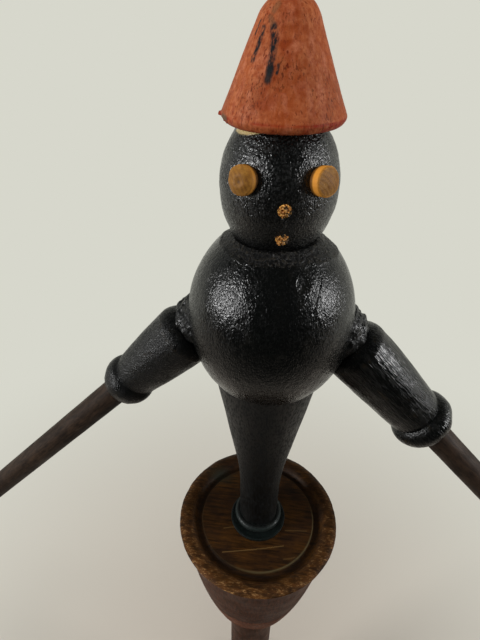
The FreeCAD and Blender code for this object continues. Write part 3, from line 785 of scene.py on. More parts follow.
def turned_wood(name, middle, dark, light, lines=0.35):
    """Stained wood of the stand, with the lines that the turning tool left."""
    finish, colour = stained_wood(
        name, middle, dark, light, 0.7 * MM, (1, 1, 6), 0.56, 0.015 * MM)
    height = add(finish.tree, "ShaderNodeSeparateXYZ", links={"Vector": finish.place})
    rings = add(finish.tree, "ShaderNodeTexNoise", {"noise_dimensions": "1D"}, {
        "W": (height, "Z"), "Scale": 1 / (0.8 * MM), "Detail": 3.0, "Roughness": 0.6})
    cuts = add(finish.tree, "ShaderNodeMapRange", links={
        "Value": (rings, "Fac"), "From Min": 0.5, "From Max": 0.68})
    return finish.paint(finish.layered(colour, (dark, cuts, lines)))


def eye_wood(props):
    """Bare wood cut across its grain: golden brown, with fine rings and open pores."""
    finish = Finish("bare_end_grain_wood", 0.5, 0.15)
    pith = add(finish.tree, "ShaderNodeMapping", links={
        "Vector": finish.place, "Location": (5.1 * MM, 4.2 * MM, 0), "Scale": (1, 1, 0.05)})
    rings = add(finish.tree, "ShaderNodeTexWave", {"wave_type": "RINGS", "rings_direction": "Z"}, {
        "Vector": pith, "Scale": 2 * math.pi / (20 * 0.8 * MM), "Distortion": 2.6, "Detail": 3.0,
        "Detail Scale": 1.2})
    pores = finish.speckle((1, 1, 6), 0.16 * MM, 1.0, 0.56, 0.66)
    clouds = finish.speckle(EVEN, 1.4 * MM)
    colour = finish.layered(
        props.eye_wood,
        ("#67401c", (rings, "Fac"), 0.55),
        ("#a97a35", clouds, 0.5),
        ("#6b421c", pores, 0.6),
        ("#e0963a", "side", 0.8),
        # Painted shade at the foot of the peg and in its dimple.
        ("#3d2410", "grime"))
    height = add(finish.tree, "ShaderNodeMath", MINUS, {0: (rings, "Fac"), 1: pores})
    return finish.paint(colour, None, height, 0.015 * MM)


def rough_peg_wood():
    """Torn end grain, half filled with black paint."""
    finish = Finish("torn_orange_peg_wood", 0.5)
    tufts = finish.speckle(EVEN, 0.45 * MM, 2.0, 0.42, 0.6)
    pits = finish.speckle(EVEN, 0.7 * MM, 2.0, 0.56, 0.63)
    colour = finish.layered("#9a5a1c", ("#d9a04c", tufts), ("#1a100a", pits, 0.9))
    return finish.paint(colour, None, tufts, 0.08 * MM)


def paint_crumb():
    # Dried crumbs of black paint, with bright wet-looking facets.
    finish = Finish("crumbs_of_black_paint", 0.2, place=("TexCoord", "Object"))
    grit = add(finish.tree, "ShaderNodeTexNoise", links={
        "Vector": finish.place, "Scale": 1 / (0.2 * MM), "Detail": 2.0})
    colour = finish.layered("#0a0a0a", ("#262420", (grit, "Fac")))
    return finish.paint(colour, None, grit, 0.03 * MM)


def dowel_wood():
    """Plain beech rod, sawn and sanded, pale with short brown flecks."""
    finish = Finish("beech_dowel", 0.6, place=("TexCoord", "Object"))
    flecks = finish.speckle((1, 1, 20 / 3), 0.3 * MM, 2.0, 0.5, 0.7)
    return finish.paint(
        finish.layered("#c9a473", ("#8e6438", flecks, 0.7)), None, flecks, 0.01 * MM)


def turned_metal(name, code, roughness):
    """Lathe-turned metal, with fine lines round it."""
    finish = Finish(name, roughness, place=("TexCoord", "Object"))
    finish.shader.inputs["Metallic"].default_value = 1.0
    cuts = finish.speckle((10, 10, 1), 0.12 * MM, 2.0)
    return finish.paint(finish.layered(code, ("#4a4238", cuts, 0.25)), None, cuts, 0.004 * MM)


# Routes of marks, as bearings and millimetres above the platform, with any width and strength
HAT_SCUFFS = (
    (((-41.1, 149.4), (-41.2, 148.2), (-41.1, 146.9), (-42.4, 145.8), (-43.2, 145.0)), 0.75),
    (((-22.0, 149.6), (-16.2, 147.9), (-16.3, 146.0), (-16.2, 143.6)), 0.95),
    (((-7.2, 144.6), (-7.9, 143.5)), 0.4),
    (((-55.4, 150.4), (-57.7, 148.6)), 0.35))
HAT_BRUISES = (
    (((-67, 135.8), (-58, 135.7)), 0.8, 1.0),
    (((-25.4, 152.6), (-28.3, 152.0)), 0.9, 0.5),
    (((-32.4, 150.9), (-23.6, 150.0)), 0.7, 0.5))
HAT_BLOT = (-16.0, 144.0), (-16.4, 143.4), (-17.0, 142.5)
HAT_SEAM = (2, 152.4), (5, 149.2), (0, 146.0), (-4, 142.5), (-17, 139.8), (-24, 137.9)
HAT_NICK = (-80, 135.1), (-66, 134.6), (-58, 134.9)
HAT_SPLINTER = (-86, 135.7), (-82, 135.6)
BARE_BROW = (-74, 133.4), (-60, 133.3), (-42, 133.6), (-26, 134.2)
FACE_DRIP = (7, 119.6), (9.5, 118.9), (10, 118.0), (8, 117.4)
TORSO_CRACK = ((45.0, 107.0), (43.9, 106.7), (41.0, 105.8), (38.6, 104.9), (35.0, 103.5),
               (32.0, 102.0), (30.4, 101.2))


# Hat
def hat_outline(props):
    tip, rim = high("hat"), widest("hat")
    slope = math.atan(props.taper)
    rise = HEAD_TOP + props.rim_round
    nose = (rise + rim / props.taper - tip) / (1 / math.sin(slope) - 1)
    shape = from_axis(widest("hat_dowel"), high("hat_dowel"), HEAD_TOP, 0.2 * MM)
    shape.line(rim - props.rim_round, HEAD_TOP).about(rim - props.rim_round, rise, 90)
    shape.line(nose * math.cos(slope), tip - nose + nose * math.sin(slope))
    return shape.about(0, tip - nose, 90 - math.degrees(slope))


class TOY_OT_make_hat(bpy.types.Operator):
    """Turns the cone of the hat, with its rounded rim, nick and scuffs"""
    bl_idname = "toy.make_hat"
    bl_label = "Make Hat"

    def execute(self, context):
        props = context.scene.toy_hat
        hat = Turned(hat_outline(props), spokes(300, [(-30, 40, 1.6)]))
        bore = widest("hat_dowel")
        rise = (hat.height - HEAD_TOP) / MM
        outside = np.maximum(smooth(hat.radius, bore, bore + 1 * MM), smooth(rise, 11, 12))
        hat.roughen(outside, 9 * MM, 11, 0.05 * MM, (1, 1, 2))
        hat.roughen(outside, 1.1 * MM, 12, 0.012 * MM, (1, 1, 5))
        nick = hat.near(HAT_NICK, 0.9)
        hat.rise += (hat.near(HAT_SPLINTER, 0.4) * 0.5 - nick * 0.15) * MM
        hat.roughen(-nick, 0.6 * MM, 13, 0.12 * MM)
        edge = 1.35 + 0.35 * np.cos(hat.angle - bearing(-5))
        broken = smooth(lumps(hat.points * [1, 1, 0], 4 * MM, 17), -0.9, 0.5)
        line = ridge(rise - edge, 0.22) * broken
        hat.rise -= line * 0.03 * MM * outside
        pooled = smooth(-rise, -edge, -0.2)
        pooled *= 0.3 + 0.5 * lumps(hat.points, 1.6 * MM, 14, (1, 1, 2))
        red_rim = smooth(-rise, -1.9, -1.2) * smooth(lumps(hat.points, 1.6 * MM, 19), -0.6, 0.6)
        red_rim *= smooth(np.abs(hat.aside(-10)), 5 * MM, 9 * MM)
        drips = smooth(lumps(hat.points, 1.3 * MM, 16, (1, 1, 1.5)), 0.6, 1.2)
        drips *= ridge(hat.aside(-38), 7 * MM) * smooth(-rise, -4.5, -2.5)
        seam = hat.near(HAT_SEAM, 2.4) * (0.4 + 0.5 * lumps(hat.points, 1.4 * MM, 18, (1, 1, 1.5)))
        blots = smooth(lumps(hat.points, 5 * MM, 15, (1, 1, 2)), 0.9, 1.8) * 0.6
        left, right = (np.cos(hat.angle - bearing(middle)) for middle in (-62, 36))
        rubbed = smooth(left, 0.2, 0.95) * 0.55 + smooth(right, 0.8, 1.0) * 0.7 + 0.12
        hat.marks = {
            "scuff": np.max([hat.near(route, width) for route, width in HAT_SCUFFS], axis=0),
            "blot": hat.near(HAT_BLOT, 0.95),
            "pooled": np.clip(np.max([pooled, drips, seam, blots], axis=0), 0, 1),
            "line": np.clip(line * 0.8 + red_rim, 0, 1),
            "rubbed": np.clip(rubbed, 0, 1),
            "bruise": np.max([hat.near(route, width) * strength
                              for route, width, strength in HAT_BRUISES], axis=0),
        }
        fitted("turned_hat", hat.mesh("hat"), hat_paint(props), "red_stained_hat", "hat")
        return {"FINISHED"}


# Head and face
def head_egg(props):
    return TORSO_TOP + props.waist, widest("head"), props.half_height


class TOY_OT_make_head(bpy.types.Operator):
    """Turns the head, rough with brushed paint, bare where the hat left it unpainted"""
    bl_idname = "toy.make_head"
    bl_label = "Make Head"

    def execute(self, context):
        props = context.scene.toy_head
        egg, crown = head_egg(props), widest("hat_dowel")
        shape = from_axis(widest("neck_dowel"), high("neck_dowel"), TORSO_TOP, 0.22 * MM)
        shape.line(egg_at(*egg, TORSO_TOP), TORSO_TOP).egg(*egg, HEAD_TOP)
        shape.line(crown, HEAD_TOP).to_axis(crown, low("hat_dowel"))
        head = Turned(shape, spokes(330, [(0, 70, 0.8)]))
        outside = smooth(head.radius, 5 * MM, 8 * MM)
        head.roughen(outside, 6 * MM, 21, 0.07 * MM)
        head.roughen(outside, 1.0 * MM, 22, 0.02 * MM)
        head.rise += head.near(FACE_DRIP, 0.4) * 0.14 * MM
        head.marks = {"worn": np.clip(head.near(BARE_BROW, 0.5) * 2, 0, 1)}
        fitted("turned_head", head.mesh("head"), head_paint(props), "black_painted_head", "head")
        return {"FINISHED"}


def on_face(props, turn, height, tilt):
    """Place of a peg that is drawn about Z, with z = 0 on the head's surface and +z outwards."""
    radius = egg_at(*head_egg(props), TORSO_TOP + height)
    about = Matrix.Rotation(math.radians(props.turn + turn), 4, "Z")
    place = Matrix.Translation((0, -radius, TORSO_TOP + height))
    return about @ place @ Matrix.Rotation(math.radians(90 - tilt), 4, "X")


def domed_peg(radius, depth, proud, crown, edge):
    """Outline of an eye: a peg with a softened edge and a domed end."""
    ball = (radius ** 2 + crown ** 2) / (2 * crown)
    centre = proud + crown - ball
    lean = math.asin((radius - edge) / ball)
    shape = from_axis(radius, -depth, -edge, 0.1 * MM).line(radius, proud - edge * 0.6)
    shape.bow(radius - edge, centre + ball * math.cos(lean), edge * 0.22)
    return shape.about(0, centre, math.degrees(lean))


def strewn(name, slot, mesh, place, seed, density, smallest, largest, length=0.6, lean=0.4,
           finish=None):
    """Scatters crumbs of paint, or fibres, over the marked part of a mesh, as its own piece."""
    finish = finish or bpy.data.materials.get("crumbs_of_black_paint") or paint_crumb()
    tree = bpy.data.node_groups.get("Scatter") or scatter_tree()
    bits = grown(tree, mesh, {
        "Density": density / MM ** 2, "Seed": seed, "Smallest": smallest * MM,
        "Largest": largest * MM, "Length": length, "Lean": lean, "Material": finish})
    fitted(name, bits, finish, slot, place=place)


class TOY_OT_make_face(bpy.types.Operator):
    """Sets the two bare wood eyes and the rough nose and mouth pegs into the head"""
    bl_idname = "toy.make_face"
    bl_label = "Make Face"

    def eye(self, props, side, finish):
        proud, crown = getattr(props, side + "_proud"), getattr(props, side + "_crown")
        shape = domed_peg(props.eye_radius, props.eye_depth, proud, crown, 0.35 * MM)
        eye = Turned(shape, spokes(150))
        flat = smooth(eye.height, proud - 0.3 * MM, proud + 0.02 * MM)
        eye.roughen(flat, 2.4 * MM, 31 + SIDES[side], 0.05 * MM)
        # Only the left eye has a dimple, and the sides of the right one are worn brighter.
        dimpled, bright = {"left": (1, 0.35), "right": (0, 1.0)}[side]
        dimple = np.hypot(eye.points[:, 0] - 0.2 * MM, eye.points[:, 1] + 0.2 * MM)
        dimple = (1 - smooth(dimple, 0, 1.3 * MM)) * dimpled
        eye.rise -= dimple * 0.3 * MM * flat
        side_wall = smooth(eye.radius, props.eye_radius - 0.5 * MM, props.eye_radius - 0.1 * MM)
        eye.marks = {
            "side": side_wall * (1 - flat * 0.6) * bright,
            # Painted shade, darkest where the peg meets the head and in the middle of the dimple.
            "grime": (1 - smooth(eye.height, 0.05 * MM, 0.55 * MM)) * 0.85 + dimple ** 4 * 0.7 * flat,
        }
        name = "eye_" + side
        place = on_face(props, SIDES[side] * props.eye_spread, props.eye_height, props.eye_tilt)
        fitted("turned_" + name, eye.mesh(name), finish, "bare_wood_peg", name, place=place)

    def small_peg(self, props, name, height, seed, finish):
        radius, proud = props.peg_radius, props.peg_proud
        shape = from_axis(radius, -props.peg_depth, -proud, 0.08 * MM).line(radius, proud - 0.1 * MM)
        shape.bow(radius - 0.15 * MM, proud, 0.03 * MM).line(0, proud)
        peg = Turned(shape, spokes(96))
        end = smooth(peg.height, 0, proud)
        peg.roughen(end, 0.5 * MM, seed, 0.16 * MM)
        star = np.cos(peg.angle * 5 + seed) * smooth(peg.radius, 0.5 * MM, radius)
        peg.points *= 1 + (end * star * 0.09)[:, None] * np.array([1, 1, 0])
        place = on_face(props, props.peg_turn, height, 0)
        fitted("torn_" + name, peg.mesh(name), finish, "rough_wood_peg", name, place=place)
        shape = Outline(0, proud * 0.7, 0.15 * MM).line(radius, proud * 0.7)
        end_grain = Turned(shape.line(radius, proud * 0.5).line(0, proud * 0.5), spokes(24))
        end_grain.marks = {"strewn": (end_grain.height > proud * 0.6).astype(float)}
        strewn(name + "_fibres", "rough_wood_peg", end_grain.mesh("end_grain"), place, seed,
               density=7.0, smallest=0.08, largest=0.15, length=1.7, lean=0.5, finish=finish)

    def execute(self, context):
        props = context.scene.toy_head
        bare, torn = eye_wood(props), rough_peg_wood()
        for side in SIDES:
            self.eye(props, side, bare)
        self.small_peg(props, "nose_peg", props.nose_height, 41, torn)
        self.small_peg(props, "mouth_peg", props.mouth_height, 42, torn)
        return {"FINISHED"}


# Torso and leg
class TOY_OT_make_torso(bpy.types.Operator):
    """Turns the torso, with its rough collar, dent and crack"""
    bl_idname = "toy.make_torso"
    bl_label = "Make Torso"

    def execute(self, context):
        props = context.scene.toy_torso
        egg = TORSO_FOOT + props.waist, widest("torso"), props.half_height
        neck, soft = widest("neck_dowel"), 0.5 * MM
        edge = egg_at(*egg, TORSO_FOOT + soft)
        shape = from_axis(widest("leg_dowel"), high("leg_dowel"), TORSO_FOOT, 0.3 * MM)
        shape.line(edge - soft, TORSO_FOOT).bow(edge, TORSO_FOOT + soft, 0.12 * MM)
        shape.egg(*egg, TORSO_TOP).line(neck, TORSO_TOP).to_axis(neck, low("neck_dowel"))
        torso = Turned(shape, spokes(470, [(20, 55, 1.0)]))
        outside = smooth(torso.radius, 8 * MM, 9.5 * MM)
        above = (torso.height - FACE) / MM
        torso.roughen(outside, 12 * MM, 51, 0.08 * MM)
        torso.roughen(outside, 1.2 * MM, 52, 0.008 * MM, (1, 1, 2))
        turn = np.degrees(torso.angle - bearing(0)) % 360
        lower = smooth(turn, 30, 110) * (1 - smooth(turn, 200, 275)) * props.collar_fall
        fold = (props.collar_foot - lower) / MM + 0.1 * lumps(torso.points, 3 * MM, 53)
        collar = smooth(above, fold, fold + 0.3) * outside
        torso.rise -= collar * props.collar_depth * smooth(-above, -111.6, -110.4)
        torso.roughen(collar, 0.8 * MM, 54, 0.05 * MM)
        torso.rise += ridge(above - fold, 0.25) * 0.1 * MM
        across = torso.aside(props.dent_bearing)
        dent = np.hypot(across, torso.height - FACE - props.dent_height)
        torso.rise -= (1 - smooth(dent, 0.2 * MM, 1.9 * MM)) * 0.16 * MM
        dent_edge = ridge(dent - 1.7 * MM, 0.25 * MM) * smooth(-across, -0.2 * MM, 1.2 * MM)
        torso.rise += dent_edge * 0.05 * MM
        torso.rise -= torso.near(TORSO_CRACK, props.crack_width / MM) * 0.14 * MM
        torso.marks = {"collar": collar, "strewn": collar * smooth(-above, -111.4, -110.9) * 0.6}
        mesh, slot = torso.mesh("torso"), "black_lacquered_body"
        strewn("collar_crumbs", slot, mesh.copy(), None, 55,
               density=1.4, smallest=0.052, largest=0.13)
        fitted("turned_torso", mesh, body_lacquer(props), slot, "torso")
        return {"FINISHED"}


class TOY_OT_make_leg(bpy.types.Operator):
    """Turns the tapered leg, with the bead at its foot and the cut line under the torso"""
    bl_idname = "toy.make_leg"
    bl_label = "Make Leg"

    def execute(self, context):
        props = context.scene.toy_leg
        sole, top = low("leg"), high("leg")
        bead, dowel = sole + props.bead_round, widest("leg_dowel")
        slope = math.atan(props.taper)
        bend = top - (props.top_radius - props.ankle) / props.taper - props.blend
        curve_radius = props.blend / math.tan(slope / 2)
        bead_rise = math.sqrt(props.bead_round ** 2 - (props.bead - props.ankle) ** 2)
        bead_turn = math.degrees(math.atan2(bead_rise, props.ankle - props.bead)) + 90
        cut = 1.1 * MM
        shape = from_axis(widest("foot_socket"), high("foot_socket"), sole, 0.45 * MM)
        shape.line(props.bead, sole)
        shape.step = 0.15 * MM
        shape.about(props.bead, bead, bead_turn)
        shape.step = 0.45 * MM
        shape.line(props.ankle, bend).about(props.ankle + curve_radius, bend, -math.degrees(slope))
        shape.line(props.top_radius - props.taper * (cut + 0.3 * MM), top - cut - 0.3 * MM)
        shape.step = 0.1 * MM
        shape.line(props.top_radius - props.taper * props.seam, top - props.seam)
        shape.line(props.top_radius - props.seam, top).line(dowel, top, True)
        leg = Turned(shape.to_axis(dowel, low("leg_dowel")), spokes(200, [(0, 80, 0.6)]))
        outside = smooth(leg.radius, 5 * MM, 6 * MM)
        leg.roughen(outside, 9 * MM, 61, 0.05 * MM, (1, 1, 2))
        broken = smooth(lumps(leg.points * [1, 1, 0], 3 * MM, 62), -0.2, 0.8)
        leg.rise -= outside * ridge(leg.height - top + cut, 0.13 * MM) * broken * 0.07 * MM
        speck = np.hypot(leg.aside(2), leg.height - FACE - 43 * MM)
        leg.rise += (1 - smooth(speck, 0.1 * MM, 0.4 * MM)) * 0.12 * MM
        leg.marks = {"worn": smooth(-leg.height, -sole - 2.7 * MM, -sole - 2.2 * MM)}
        fitted("turned_leg", leg.mesh("leg"), leg_lacquer(), "black_lacquered_body", "leg")
        return {"FINISHED"}


# Turnings that the geometry nodes spin
def spun(node, outline, sides, spacing, depth, finish, slot, body, place=None):
    """Spins a plain turning, with fine tool lines, in the place of its node."""
    tree = bpy.data.node_groups.get("Turning") or turning_tree()
    mesh = grown(tree, line_mesh(outline), {
        "Sides": sides, "Line Spacing": spacing * MM, "Line Depth": depth * MM, "Seed": 3,
        "Material": finish})
    fitted("turned_" + node, mesh, finish, slot, node, body=body, place=place)


# Arms
class Arm:
    """The line of one arm, from the two nodes that lie on it."""

    def __init__(self, side):
        middles = [sum(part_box(node + side), Vector()) / 2 for node in ("arm_rod_", "ball_")]
        self.way = (middles[1] - middles[0]).normalized()
        self.start = middles[1] - self.way * middles[1].x / self.way.x
        top = Vector((-self.way.z * SIDES[side], 0, self.way.x * SIDES[side]))
        turn = Matrix((top, self.way.cross(top), self.way)).transposed().to_4x4()
        self.place = Matrix.Translation(self.start) @ turn
        self.side = side

    def span(self, node):
        """Where a node starts and ends along the arm."""
        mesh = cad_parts[node + self.side].data
        corners = [self.way.dot(vertex.co - self.start) for vertex in mesh.vertices]
        return min(corners), max(corners)

    def reach(self, node):
        """Radius of a turned node about the arm: half its depth front to back."""
        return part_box(node + self.side)[1].y


class TOY_OT_make_arms(bpy.types.Operator):
    """Turns the shoulders, sleeves, rods, balls and plugs of both arms"""
    bl_idname = "toy.make_arms"
    bl_label = "Make Arms"

    def shoulder(self, props, arm, finish):
        start, end = arm.span("shoulder_")
        shape = Outline(props.rod, start, 0.2 * MM).line(props.shoulder, start)
        shape.line(props.shoulder, (start + end) / 2)
        shape.bow(props.shoulder_neck, end, props.shoulder_bulge).line(props.rod, end)
        piece = Turned(shape, spokes(260))
        outside = smooth(piece.radius, props.rod + 0.3 * MM, props.shoulder_neck)
        seed, name, slot = 71 + SIDES[arm.side], "shoulder_" + arm.side, "black_lacquered_sleeve"
        piece.roughen(outside, 2.4 * MM, seed, 0.2 * MM)
        piece.roughen(outside, 0.8 * MM, seed + 3, 0.06 * MM)
        piece.rise = np.clip(piece.rise, -0.5 * MM, 0.4 * MM)
        piece.marks = {"strewn": outside}
        mesh = piece.mesh(name)
        strewn("crumbs_" + arm.side, slot, mesh.copy(), arm.place, seed,
               density=0.3, smallest=0.08, largest=0.2)
        fitted("lumpy_" + name, mesh, finish, slot, name, place=arm.place)

    def sleeve(self, props, arm, finish):
        start, end = arm.span("sleeve_")
        neck, cuff_end = end - props.cuff_length, end - props.cuff_round
        slim, cuff = getattr(props, arm.side + "_neck"), getattr(props, arm.side + "_cuff")
        mouth_edge = cuff - props.cuff_fall
        run = Vector((mouth_edge - slim, cuff_end - neck))
        full = Vector((cuff - slim, props.cuff_crown))
        shape = Outline(props.rod, start, 0.22 * MM).line(props.shoulder_neck, start)
        shape.bow(props.sleeve_top, start + props.sleeve_round, props.sleeve_bulge)
        shape.bow(slim, neck, 0.25 * MM)
        shape.bow(mouth_edge, cuff_end, (full.x * run.y - full.y * run.x) / run.length)
        shape.bow(props.mouth, end, props.cuff_bulge).line(props.rod, end)
        piece = Turned(shape, spokes(300))
        outside = smooth(piece.radius, props.rod + 0.3 * MM, props.mouth)
        seed, name = 81 + SIDES[arm.side], "sleeve_" + arm.side
        piece.roughen(outside, 6 * MM, seed, 0.07 * MM, (1, 1, 2))
        piece.roughen(outside, 1.0 * MM, seed + 3, 0.014 * MM, (1, 1, 5))
        piece.rise -= outside * ridge(piece.height - neck, 0.8 * MM) * 0.16 * MM
        edges = sum(ridge(piece.height - at, 0.5 * MM) for at in (start + props.sleeve_round, cuff_end))
        under = smooth(-np.cos(piece.angle), 0.2, 0.95)
        scratches = smooth(lumps(piece.points, 3 * MM, seed + 5, (1, 1, 2)), 0.9, 1.7)
        piece.marks = {"worn": np.clip((edges * 0.6 + scratches * 0.5) * (0.12 + 0.88 * under), 0, 1)}
        fitted("turned_" + name, piece.mesh(name), finish, "black_lacquered_sleeve", name,
               place=arm.place)

    def rod(self, props, arm):
        (start, end), soft = arm.span("arm_rod_"), 0.4 * MM
        shape = Outline(0, start, 2 * MM).line(props.rod - soft, start, True)
        shape.line(props.rod, start + soft, True).line(props.rod, end - soft)
        return shape.line(props.rod - soft, end, True).line(0, end, True)

    def ball(self, props, arm):
        reach, bore = arm.reach("ball_"), arm.reach("ball_plug_")
        middle = arm.span("ball_")[1] - math.sqrt(reach ** 2 - bore ** 2)
        seat = middle - math.sqrt(reach ** 2 - props.rod ** 2)
        shape = from_axis(props.rod, arm.span("arm_rod_")[1], seat, 0.6 * MM)
        shape.about(0, middle, math.degrees(math.acos(props.rod / reach) + math.acos(bore / reach)))
        return shape.to_axis(bore, arm.span("slug_")[0])

    def plug(self, props, arm):
        reach, bore, end = arm.reach("ball_"), arm.reach("ball_plug_"), arm.span("ball_")[1]
        middle = end - math.sqrt(reach ** 2 - bore ** 2)
        shape = from_axis(bore, arm.span("ball_plug_")[0], end, 0.5 * MM)
        return shape.about(0, middle, 90 - math.degrees(math.acos(bore / reach)))

    def execute(self, context):
        props = context.scene.toy_arms
        shoulder = shoulder_lacquer()
        rod = turned_wood("dark_stained_rod", props.rod_wood, "#160e09", "#493729", 0.1)
        ball = turned_wood("dark_stained_ball", props.ball_wood, "#2a1c12", "#7a6048")
        for side in SIDES:
            arm = Arm(side)
            self.shoulder(props, arm, shoulder)
            self.sleeve(props, arm, sleeve_lacquer(side))
            for node, draw, sides, spacing, depth, finish, slot in (
                    ("arm_rod_", self.rod, 72, 7, 0.03, rod, "dark_rod_wood"),
                    ("ball_", self.ball, 144, 1.4, 0.02, ball, "dark_ball_wood"),
                    ("ball_plug_", self.plug, 96, 0.9, 0.02, ball, "dark_ball_wood")):
                spun(node + side, draw(props, arm), sides, spacing, depth, finish, slot, "figure",
                     arm.place)
        return {"FINISHED"}


# Stand
def bell_curve(props):
    return FACE + props.bell_rise, props.bell_radius, props.bell_half


class TOY_OT_make_stand(bpy.types.Operator):
    """Turns the base, stem, band and bell of the stand"""
    bl_idname = "toy.make_stand"
    bl_label = "Make Stand"

    def base(self, props):
        height, corner = high("stand_base"), widest("stand_base") - props.base_round
        shape = Outline(0, 0, 0.7 * MM).line(corner, 0).about(corner, props.base_round, 90)
        shape.line(widest("stand_base"), props.base_edge - props.base_round)
        shape.about(corner, props.base_edge - props.base_round, 90)
        shape.bow(props.base_boss, height, -props.base_hollow).line(LOWER_TENON, height)
        return shape.to_axis(LOWER_TENON, low("stand_stem"))

    def stem(self, props):
        waist, slim = props.waist, (props.vase + props.waist * 2) / 3
        band, shoulder = low("stand_band"), high("stand_base")
        flare_top = shoulder + props.flare_height
        vase_foot = flare_top + props.ring_height
        vase_top = vase_foot + props.vase_height
        shape = from_axis(LOWER_TENON, low("stand_stem"), shoulder, 0.6 * MM)
        shape.line(widest("stand_stem"), shoulder).bow(waist, flare_top, -props.flare_hollow)
        shape.bow(waist, vase_foot, props.ring - waist)
        shape.through([(waist, vase_foot), (props.vase, vase_foot + props.vase_belly),
                       (slim, vase_foot + (props.vase_belly + props.vase_height) / 2),
                       (waist, vase_top)])
        shape.bow(props.stem_radius, vase_top + props.ring_height,
                  props.ring - (waist + props.stem_radius) / 2)
        shape.line(props.stem_radius, band).line(UPPER_TENON, band, True)
        return shape.to_axis(UPPER_TENON, high("stand_stem"))

    def band(self, props):
        foot, top, curve = low("stand_band"), high("stand_band"), bell_curve(props)
        edge = egg_at(*curve, foot + props.band_round)
        shape = Outline(UPPER_TENON, foot, 0.3 * MM).line(edge - props.band_round, foot)
        shape.about(edge - props.band_round, foot + props.band_round, 90)
        for at in (foot + 5.4 * MM, foot + 6.6 * MM, top - 1.2 * MM):
            after = at + 0.25 * MM
            shape.egg(*curve, at - 0.25 * MM)
            shape.line(egg_at(*curve, at) - 0.3 * MM, at).line(egg_at(*curve, after), after)
        return shape.egg(*curve, top).line(UPPER_TENON, top)

    def bell(self, props):
        foot, top, cup = low("stand_bell"), high("stand_bell"), widest("pivot_cup")
        curve = bell_curve(props)
        shape = from_axis(UPPER_TENON, high("stand_stem"), foot, 0.4 * MM)
        shape.line(egg_at(*curve, foot), foot).egg(*curve, top).line(cup, top)
        return shape.to_axis(cup, low("pivot_cup"))

    def execute(self, context):
        props = context.scene.toy_stand
        dark = "#21160f"
        stem = turned_wood("reddish_stained_stem", props.stem_wood, dark, "#62402e")
        bell = turned_wood("purplish_stained_bell", props.bell_wood, dark, "#5a4032", 0.55)
        band = turned_wood("orange_stained_band", props.band_wood, "#3c2014", "#96603e", 0.6)
        for name, draw, sides, spacing, depth, finish, slot in (
                ("base", self.base, 220, 1.6, 0.05, stem, "stained_stem_wood"),
                ("stem", self.stem, 144, 1.3, 0.04, stem, "stained_stem_wood"),
                ("band", self.band, 180, 1.1, 0.05, band, "orange_stained_wood"),
                ("bell", self.bell, 220, 0.8, 0.05, bell, "stained_bell_wood")):
            spun("stand_" + name, draw(props), sides, spacing, depth, finish, slot, "stand")
        return {"FINISHED"}


# Scratches on the platform, as X and Y in millimetres, with a width and a strength
PLATFORM_SCRATCHES = (
    ((-10.7, -14.8), (-0.5, -12.6), (9.8, -10.0), 0.2, 0.65),
    ((-11.5, -6.3), (-9.0, -5.6), (-6.2, -5.1), 0.3, 0.35),
    ((10.2, -4.4), (13.5, -4.0), (17.6, -3.6), 0.3, 0.3),
    ((10.0, -14.5), (12.0, -14.1), (13.8, -13.4), 0.3, 0.25))


